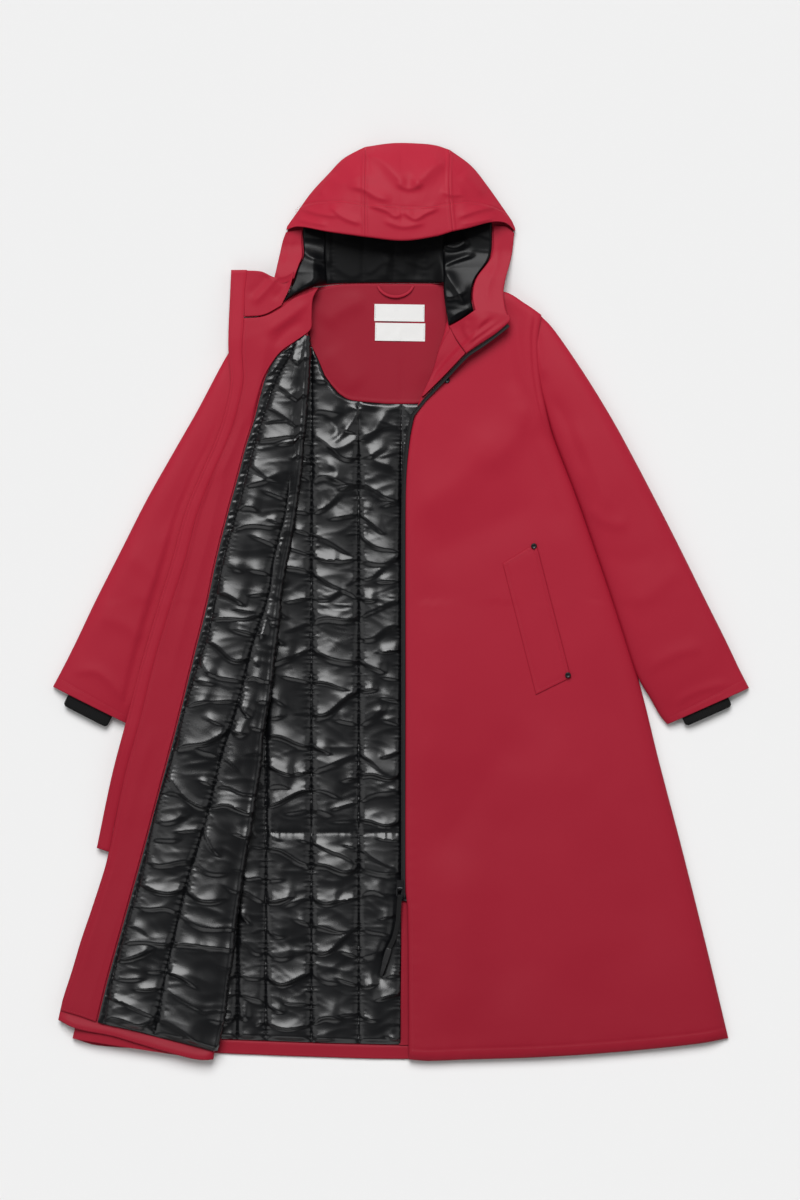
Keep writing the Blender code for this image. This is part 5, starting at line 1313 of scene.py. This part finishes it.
HOOD_FOLDS = [
    ([(-62, 706), (-28, 686), (-4, 660), (14, 643)], 19, 6.0, 1.7),
    ([(72, 690), (50, 674), (32, 656), (12, 643)], 18, 5.4, 1.7),
    ([(-10, 652), (13, 641), (38, 651)], 10, 3.0, 2.4),
    ([(-86, 648), (-57, 640), (-35, 627), (-10, 622)], 12, 3.6, 2.6),
    ([(-120, 662), (-92, 652), (-60, 662), (-30, 652)], 14, 2.2, 1.6),
    ([(-104, 672), (-118, 650), (-128, 630)], 11, 2.4, 1.5),
    ([(92, 668), (110, 650), (134, 634)], 13, 2.4, 1.6),
    ([(60, 640), (78, 632), (104, 634)], 9, 2.2, 2.0),
    ([(-52, 616), (-22, 606), (-7, 597), (6, 605)], 8, 2.6, 2.8),
    ([(-2, 606), (10, 600), (23, 593), (40, 602), (64, 612)], 8, 2.8, 2.8),
    ([(-30, 592), (4, 581), (42, 588)], 8, 2.2, 2.4),
    ([(-160, 616), (-128, 604), (-92, 597)], 8, 2.4, 2.2),
    ([(-112, 618), (-90, 597), (-56, 584)], 8, 2.6, 2.2),
    ([(-164, 598), (-140, 590), (-110, 584)], 6, 1.6, 1.8),
    ([(84, 594), (120, 608), (156, 618)], 8, 2.4, 2.0),
    ([(90, 582), (120, 588), (150, 600)], 7, 1.8, 2.0),
]


def hood_top(x, y):
    """The dome's height: low at the hood's outline and rising quickly inside it."""
    return 0.0060 + 0.050 * (1.0 - np.exp(-np.abs(HOOD_OUTLINE.near(x, y)[0]) / 0.045))


# %% Hood panels
def hood_panel(name, top, low, left, right, columns, seams):
    """One panel of the dome. Seams are the columns of points at which it is sewn to its neighbours."""
    length = 0.13
    across, rows = spread(0.12, (*FINE, 0.003), columns), spread(length, (0.0008, 0.002, 0.004, 0.007), 74)
    x, y = Panel(top, low, left, right).grid(across, rows)
    below = (1 - rows[:, None]) * length
    base = hood_top(x, y)
    seam_off = Line(BRIM_SEAM).near(x, y)[0]
    brim = smoothstep((-seam_off) / 0.004) * 0.0012
    relief = folds(x, y, HOOD_FOLDS) + 0.0005 * cloud(x, y, 0.03, 91)
    ripple = 0.0006 * cloud(x, y * 0.4, 0.011, 92) * bell(np.abs(seam_off) - 0.004, 0.008)
    seamed = np.min([np.hypot(x - x[:, [k]], y - y[:, [k]]) for k in seams], axis=0)
    grooves = 0.0009 * smoothstep((0.0052 - seamed) / 0.0014) - 0.0005 * bell(seamed, 0.0011)
    stitched = -0.0006 * bell(seam_off, 0.0013)
    z = base + brim + relief * smoothstep(below / 0.01) + ripple + grooves + stitched
    z = np.maximum(z - rounded(below, 0.0020, 0.0016), 0.0045)
    low_z = np.maximum(LINING_UNDER + 0.0002, base - 0.0060)
    outer = layer(x, y, z)
    cloth(name, outer, layer(x, y, low_z), shell, ["hood_back"], inner_finish=satin)
    sew("red", inset_row(outer, "low", 0.0040))
    for side in ("left", "right"):
        sew("red", inset_line(outer, side, 0.0036, 6, -6))
    return outer


def seam_stitches(surfaces):
    """Topstitching of the brim's tunnel, laid on whichever hood panel is nearest."""
    points = np.concatenate([surface.reshape(-1, 3) for surface in surfaces])
    for shift in (0.0, -0.0035):
        path = []
        for x, y in Line(BRIM_SEAM).at(np.linspace(0.03, 0.97, 160)):
            nearest = points[np.argmin((points[:, 0] - x) ** 2 + (points[:, 1] - y - shift) ** 2)]
            path.append((x, y + shift, nearest[2]))
        sew("red", path, sink=-0.0002)


seam_stitches([
    hood_panel("hood_right", HOOD_TOP_RIGHT, BRIM_RIGHT, [(-177, 586), (-178, 581)], CROWN_SEAM_RIGHT,
               84, (-1,)),
    hood_panel("hood_middle", HOOD_TOP_MIDDLE, BRIM_MIDDLE, [(a + 0.2, b) for a, b in CROWN_SEAM_RIGHT],
               CROWN_SEAM_LEFT, 84, (0, -1)),
    hood_panel("hood_left", HOOD_TOP_LEFT, BRIM_LEFT, [(a + 0.2, b) for a, b in CROWN_SEAM_LEFT],
               [(179, 584), (179, 579)], 70, (0,))])


# %% Back of the hood
def hood_back():
    panel = Panel([(-175, 583), (-158, 609), (-137, 636), (-89, 687), (-47, 708), (29, 712), (75, 701),
                   (131, 644), (170, 593), (177, 582)],
                  [(-193, 508), (-160, 493), (-93, 497), (-1, 498), (93, 497), (160, 489)],
                  [(-175, 583), (-182, 565), (-186, 540), (-193, 508)], [(177, 582), (172, 542), (160, 489)])
    x, y = panel.grid(spread(0.36, (0.001,), 80), spread(0.2, (0.001,), 50))
    low = 0.0006 * bell(np.abs(x - 0.010) - 0.065, 0.0016)
    cloth("hood_back", layer(x, y, SHELL), layer(x, y, low), shell, ["table"])


hood_back()


# %% Hood lining
def neck_lift(x, y):
    """The hood's sides climb from the table to the fronts that they are sewn to."""
    right = 0.0152 * smoothstep((0.560 - y) / 0.050) * smoothstep((-0.112 - x) / 0.026)
    left = 0.0162 * smoothstep((0.552 - y) / 0.062) * smoothstep((x - 0.048) / 0.024)
    return right + left


LINING_FOLDS = [
    ([(-160, 556), (-140, 538), (-104, 530)], 10, 3.4, 2.2),
    ([(-112, 520), (-140, 500), (-182, 470)], 18, 4.6, 1.6),
    ([(-100, 504), (-128, 500), (-156, 486)], 8, 2.0, 2.0),
    ([(60, 560), (84, 552), (110, 566)], 10, 3.2, 2.0),
    ([(60, 520), (84, 532), (120, 544)], 9, 3.4, 2.4),
    ([(66, 524), (81, 494), (104, 462)], 11, 4.2, 2.2),
    ([(62, 476), (82, 474), (112, 490)], 8, 2.8, 2.4),
    ([(76, 440), (92, 450), (114, 458)], 7, 2.2, 2.0),
    ([(-14, 545), (-22, 520), (-26, 500)], 9, 1.8, 1.2),
    ([(30, 548), (26, 520), (24, 500)], 8, -1.4, 1.0),
]


def hood_lining(name, top, low, left, right, columns, pitch, level, finish):
    """A lining panel, quilted in channels one pitch wide. A wide pitch leaves it plain but for folds."""
    width, length = 0.1, 0.15
    across, rows = spread(width, (0.0008, 0.002), columns), spread(length, (0.0008, 0.002), 84)
    x, y = Panel(top, low, left, right).grid(across, rows)
    under = LINING_UNDER + neck_lift(x, y)
    quilted = (x + 0.010) / pitch
    share, number = quilted - np.floor(quilted), np.floor(quilted).astype(int)
    relief = np.zeros(x.shape)
    for k in np.unique(number):
        seeds = (120 + int(k), 121 + int(k))
        relief = np.where(number == k, channel(share, -y, pitch, seeds, 0.0012, 0.0012, 0.12), relief)
    edge = np.minimum(from_edges(across[None, :], width), from_edges(rows[:, None], length))
    z = under + level + (relief + folds(x, y, LINING_FOLDS)) * smoothstep(edge / 0.004)
    z = z - rounded(edge, 0.001, 0.0008)
    cloth(name, layer(x, y, z), layer(x, y, under), finish, ["hood_back"], padding=0.4)


# The panels take the shaded copies of the satin, painted shade for the shadow inside the hood.
hood_lining("hood_lining_right", [(-152, 592), (-117, 600)],
            [(-183, 467), (-163, 479), (-138, 490), (-114, 498)],
            [(-152, 592), (-152, 565), (-151, 540), (-159, 520), (-169, 491), (-183, 467)],
            [(-117, 600), (-117, 540), (-114, 498)], 34, 0.400, 0.0030, shaded_side_satin)
hood_lining("hood_lining_middle", [(-119, 640), (-30, 670), (69, 650)],
            [(-117, 496.5), (-93, 498), (-1, 499), (69.5, 498)],
            [(-119, 640), (-119, 540), (-117, 496.5)], [(69, 650), (68.5, 549), (69.5, 498)],
            76, 0.048, 0.0020, shaded_hood_satin)
hood_lining("hood_lining_left", [(67, 600), (143, 600)], [(75, 431), (95, 441), (114, 453)],
            [(67, 600), (66, 549), (67, 502), (68, 477), (75, 431)],
            [(143, 600), (143, 587), (140, 540), (116, 504), (110, 477), (114, 453)],
            50, 0.400, 0.0030, shaded_side_satin)


# %% Facings at the hood's sides
def hood_facing(name, top, low, left, right, ridges, seed, lift, sewn):
    """A red strip at one side of the opening. Lift is how far it rises over the lining's underside."""
    width = 0.045
    across, rows = spread(width, FINE, 30), spread(0.12, FINE, 70)
    x, y = Panel(top, low, left, right).grid(across, rows)
    under = LINING_UNDER + neck_lift(x, y) + lift(x, y)
    edge = from_edges(across[None, :], width) + 0 * y
    relief = folds(x, y, ridges) + 0.0004 * cloud(x, y, 0.02, seed)
    z = under + 0.0042 + relief * smoothstep(edge / 0.006) - rounded(edge, 0.0014, 0.0022)
    outer = layer(x, y, z)
    cloth(name, outer, layer(x, y, under), shaded_inside_shell, ["hood_back"])
    sew("red", inset_line(outer, sewn, 0.0050, 2, -2))


hood_facing("hood_facing_right", [(-179, 577), (-165, 580), (-153, 581)],
            [(-198, 500), (-181, 497), (-165, 505)],
            [(-179, 577), (-184, 563), (-189, 540), (-195, 512), (-198, 500)],
            [(-153, 581), (-154, 565), (-153, 540), (-158, 526), (-165, 505)],
            [([(-196, 506), (-176, 508), (-162, 516)], 6, 1.2),
             ([(-172, 574), (-174, 545), (-180, 520)], 6, 0.9)],
            131, lambda x, y: -droop(x, y), "left")
hood_facing("hood_facing_left", [(145, 587), (164, 586), (178, 576)], [(116, 453), (142, 451), (168, 443)],
            [(145, 587), (142, 540), (118, 504), (112, 477), (116, 453)],
            [(178, 576), (174, 542), (161, 488), (163, 458), (168, 443)],
            [([(150, 580), (150, 530), (136, 490), (136, 456)], 7, 1.2)], 132, lapel_lift, "right")

# %% [markdown]
# ## Zip
# The zip's tape runs up the front's edge, turns over where the lapel rolls and follows the lapel's
# edge. A nylon coil is sewn along its free side. Slider and pull keep their solids, which already
# have their true shape, and take finer finishes.

# %% Zip tape and coil
def zip_path():
    """The middle line of the tape: up the front's edge, then along the lapel's on its outer side."""
    path = [(0.0044, y, 0.0130) for y in np.linspace(-0.461, 0.110, 60)]
    path += [(0.0047, 0.140, 0.0132), (0.0056, 0.190, 0.0140), (0.0084, 0.230, 0.0156), (0.0122, 0.262, 0.0178),
             (0.0184, 0.290, 0.0200)]
    line = Line(list(reversed(LAPEL_ZIP)))
    fractions = np.linspace(0, 1, 46)
    here, ahead, behind = line.at(fractions), line.at(fractions + 0.02), line.at(fractions - 0.02)
    run = np.linalg.norm(ahead - behind, axis=1)
    out_x, out_y = (ahead - behind)[:, 1] / run, -(ahead - behind)[:, 0] / run
    height = FRONT_OVER + 0.0022 + lapel_lift(here[:, 0], here[:, 1])
    path += list(zip(here[:, 0] + 0.0038 * out_x, here[:, 1] + 0.0038 * out_y, height))
    path = np.array(path)
    lengths = arc_lengths(path)
    return resample(path, lengths, np.linspace(0, lengths[-1], 420))


def zip_tape():
    path = zip_path()
    ahead = np.gradient(path, axis=0)
    run = np.hypot(ahead[:, 0], ahead[:, 1])
    side = np.stack([-ahead[:, 1] / run, ahead[:, 0] / run], -1)
    places = np.array([-1.0, -0.93, -0.6, -0.3, -0.12, 0.0, 0.12, 0.3, 0.6, 0.93, 1.0])
    ridge = np.array([-0.4, 0.1, 0.1, 0.1, -0.25, -0.3, -0.2, 0.15, 0.35, 0.25, -0.3]) * MM
    half = 0.0031 - 0.0006 * smoothstep((path[:, 1:2] - 0.25) / 0.05)
    x = path[:, :1] - side[:, :1] * places * half
    y = path[:, 1:2] - side[:, 1:] * places * half
    outer = layer(x, y, path[:, 2:] + 0.0007 + ridge)
    cloth("zip_tape", outer, layer(x, y, path[:, 2:] - 0.0007), tape, ["left_front"], held=None)
    sew("black", outer[4:-4, 2], pitch=0.0022, width=0.0006)
    coil(path, side)


def coil(path, side):
    """Nylon loops along the tape's free edge, each a short bent rod."""
    lengths, loop_pitch = arc_lengths(path), 0.0016
    points, faces = [], []
    for at in np.arange(0.004, lengths[-1] - 0.003, loop_pitch):
        centre, out = resample(path, lengths, at), resample(side, lengths, at)
        ahead = np.array([out[1], -out[0]])
        base = len(points)
        for reach, half in ((0.0016, 0.00045), (0.0030, 0.0005), (0.0036, 0.0003)):
            for along, up in ((-half, 0.0), (0.0, half * 1.2), (half, 0.0), (0.0, -half * 1.2)):
                flat = centre[:2] + out * reach + ahead * along
                points.append((flat[0], flat[1], centre[2] + 0.0008 + up))
        for ring in (0, 4):
            for k in range(4):
                a, b = base + ring + k, base + ring + (k + 1) % 4
                faces.append((a, b, b + 4, a + 4))
        faces += [(base + 3, base + 2, base + 1, base), (base + 8, base + 9, base + 10, base + 11)]
    mesh = new_mesh("zip_coil", points, faces, rubber)
    mesh.shade_smooth()
    new_piece("zip_coil", mesh)
    print("zip coil loops:", len(faces) // 10)


zip_tape()


# %% Ribbon, slider and pull
def pull_ribbon():
    """A ribbon doubled round the pull's loop and sewn to itself, which carries the moulded tip."""
    bar, reach = np.array(PULL_LINE[0]) * MM, 0.0017
    turn = np.radians(np.linspace(100, -100, 13))
    wrap = np.stack([np.full(13, bar[0]), bar[1] + reach * np.cos(turn), 0.0175 + reach * np.sin(turn)], -1)
    flat = Line(PULL_LINE[:5]).at(np.linspace(0.06, 1.0, 60))
    height = np.interp(flat[:, 1], [-0.54, -0.50, -0.48, -0.459], [0.0119, 0.0127, 0.0149, 0.0170])
    above, below = (np.column_stack([flat, height + lift]) for lift in (0.00085, -0.00085))
    path = np.concatenate([above[::-1], wrap, below])
    ahead = np.gradient(path[:, :2], axis=0)
    ahead[56:78] = (0.0, 1.0)
    ahead[78:] *= -1.0
    run = np.linalg.norm(ahead, axis=1, keepdims=True)
    side = np.stack([ahead[:, 1], -ahead[:, 0]], -1) / run
    places = np.linspace(-1.0, 1.0, 9) * 0.0035
    x, y = (path[:, k:k + 1] + side[:, k:k + 1] * places for k in range(2))
    out = np.zeros((len(path), 2))
    out[:, 1] = np.where(np.arange(len(path)) < 60, 1.0, -1.0)
    out[60:73] = np.stack([np.cos(turn), np.sin(turn)], -1)
    thick = 0.00068 * (1.0 - 0.35 * np.abs(np.linspace(-1, 1, 9)) ** 6)
    outer = np.stack([x, y + out[:, :1] * thick, path[:, 2:] + out[:, 1:] * thick], -1)
    cloth("zip_pull_ribbon", outer, layer(x, y, path[:, 2:] + 0 * x), grosgrain, ["zip_pull_loop"],
          held=None, body="zip_pull")


pull_ribbon()
for node, finish in (("zip_slider", metal), ("zip_pull_loop", metal), ("zip_pull_tip", rubber)):
    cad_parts[node].data.materials.clear()
    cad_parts[node].data.materials.append(finish.material)

# %% [markdown]
# ## Pocket, studs, labels and hanger
# The pocket is a welt of shell cloth with a stitched border, closed by two black studs. Inside the
# neck are two plain woven labels and a loop to hang the coat by.

# %% Pocket
def surface_height(surface, x, y):
    """Height of the nearest point of a surface."""
    flat = surface.reshape(-1, 3)
    found = [flat[np.argmin((flat[:, 0] - a) ** 2 + (flat[:, 1] - b) ** 2), 2]
             for a, b in zip(np.ravel(x), np.ravel(y))]
    return np.reshape(found, np.shape(x))


def pocket_welt():
    panel = Panel([(159, 60), (212, 92)], [(211, -145), (266, -118)], [(159, 60), (211, -145)],
                  [(212, 92), (266, -118)])
    width, length, border = 0.055, 0.21, 0.0055
    across, rows = spread(width, FINE, 24), spread(length, FINE, 70)
    x, y = panel.grid(across, rows)
    edge = np.minimum(from_edges(across[None, :], width), from_edges(rows[:, None], length))
    low = surface_height(front_surface[::2, ::2], x, y)
    lip = 0.0014 * bell((1 - across[None, :]) * width - 0.0028, 0.0018)
    z = low + 0.0018 + lip - 0.0008 * bell(edge - border, 0.0012) - rounded(edge, 0.0014, 0.0017)
    outer = layer(x, y, z)
    cloth("pocket_welt", outer, layer(x, y, low - 0.0004), shell, ["left_front"])
    sew("red", inset_line(outer, "left", border, 3, -3))
    sew("red", inset_line(outer, "right", 0.0062, 3, -3))
    for side in ("top", "low"):
        sew("red", inset_row(outer, side, border))
    return outer


# %% Studs
def stud(name, place, radius=0.0046):
    """A press stud's cap: a turned profile with a rolled rim and a shallow dish."""
    profile = np.array([(0.35, 0.0018), (0.62, 0.0023), (0.80, 0.0024), (0.93, 0.0019), (1.0, 0.0011),
                        (0.97, 0.0002), (0.90, 0.0)])
    angle = np.linspace(0, 2 * np.pi, 41)[:-1]
    points, faces = [(0.0, 0.0, 0.0017)], []
    for out, up in profile:
        points += [(radius * out * math.cos(a), radius * out * math.sin(a), up) for a in angle]
    count = len(angle)
    faces += [(0, 1 + k, 1 + (k + 1) % count) for k in range(count)]
    for ring in range(len(profile) - 1):
        for k in range(count):
            a, b = 1 + ring * count + k, 1 + ring * count + (k + 1) % count
            faces.append((a, a + count, b + count, b))
    faces.append([1 + (len(profile) - 1) * count + k for k in reversed(range(count))])
    points = [(place[0] + x, place[1] + y, place[2] + z) for x, y, z in points]
    mesh = new_mesh(name + "_cap", points, faces, metal)
    mesh.shade_smooth()
    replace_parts(new_piece(name + "_cap", mesh), name)
    print(name, "at", [round(value / MM, 1) for value in place])


welt_surface = pocket_welt()
for name, x, y in (("pocket_snap_upper", 0.208, 0.087), ("pocket_snap_lower", 0.261, -0.114)):
    stud(name, (x, y, float(surface_height(welt_surface, x, y)) + 0.0004))
stud("front_snap", (0.0725, 0.3455, float(surface_height(front_surface, 0.0725, 0.3455)) + 0.0002))


# %% Labels and hanger loop
def label(name, middle, size, thick, seed, turn=-0.015):
    """A blank woven label, turned a little and raised where its short ends are folded under."""
    width, length = size
    u, v = spread(width, (0.0005,), 36), spread(length, (0.0005,), 14)
    a, b = np.meshgrid((u - 0.5) * width, (0.5 - v) * length)
    x = middle[0] + a * math.cos(turn) - b * math.sin(turn)
    y = middle[1] + a * math.sin(turn) + b * math.cos(turn)
    base = LINING_UNDER + YOKE + 0.0005
    wave = 0.0004 * (1 + cloud(x, y, 0.018, seed)) + 0.0006 * bell(0.5 * width - np.abs(a), 0.003) * 0.3
    z = base + thick + wave
    outer = layer(x, y, z)
    cloth(name, outer, layer(x, y, z - thick), label_satin, ["back_yoke"])
    for side in ("left", "right"):
        sew("black", inset_line(outer, side, 0.0016, 2, -2), pitch=0.0024, width=0.0005, sink=-0.0001)


label("neck_label", (-0.0015, 0.4515), (0.078, 0.0265), 0.0006, 141)
label("size_label", (-0.0005, 0.4215), (0.078, 0.0280), 0.0005, 142)


def hanger_loop():
    """A narrow folded strip, sewn down at both ends and bowed between them."""
    count = 60
    angle = np.radians(np.linspace(196, 344, count))
    path = np.stack([-0.0075 + 0.0285 * np.cos(angle), 0.5000 + 0.0235 * np.sin(angle)], -1)
    height = LINING_UNDER + YOKE + 0.0008 + 0.0022 * np.sin(np.linspace(0, np.pi, count))
    side = np.stack([np.cos(angle), np.sin(angle)], -1)
    places = np.array([-1.0, -0.85, -0.5, 0.0, 0.5, 0.85, 1.0])
    dome = np.array([0.0, 0.6, 0.95, 0.8, 0.95, 0.6, 0.0]) * MM
    x = path[:, :1] + side[:, :1] * places * 0.0022
    y = path[:, 1:] + side[:, 1:] * places * 0.0022
    outer = layer(x, y, height[:, None] + 0.0004 + dome)
    cloth("hanger_loop", outer, layer(x, y, height[:, None]), shaded_inside_shell, ["back_yoke"], held=None)


hanger_loop()

# %% [markdown]
# ## Thread
# The stitches collected from every seam become two meshes, one in each colour of thread.

# %% Thread
for color, finish in (("red", red_thread), ("black", black_thread)):
    name = "stitching_" + color
    new_piece(name, new_mesh(name, stitch_points[color], stitch_faces[color], finish))
    print(color, "stitches:", len(stitch_faces[color]) // len(LOZENGE))

# %% [markdown]
# ## Floor
# A plain pale surface, wide enough to fill every view. It isn't part of the coat.

# %% Floor
floor_finish = Finish("pale_floor", (0.80, 0.80, 0.80), 0.75, Specular_IOR_Level=0.1)
FLOOR_REACH, FLOOR_UP = 60, -0.0004
corners = [(FLOOR_REACH * a, FLOOR_REACH * b, FLOOR_UP) for a, b in ((-1, -1), (1, -1), (1, 1), (-1, 1))]
floor = bpy.data.objects.new("floor", new_mesh("floor", corners, [(0, 1, 2, 3)], floor_finish))
scene.collection.objects.link(floor)
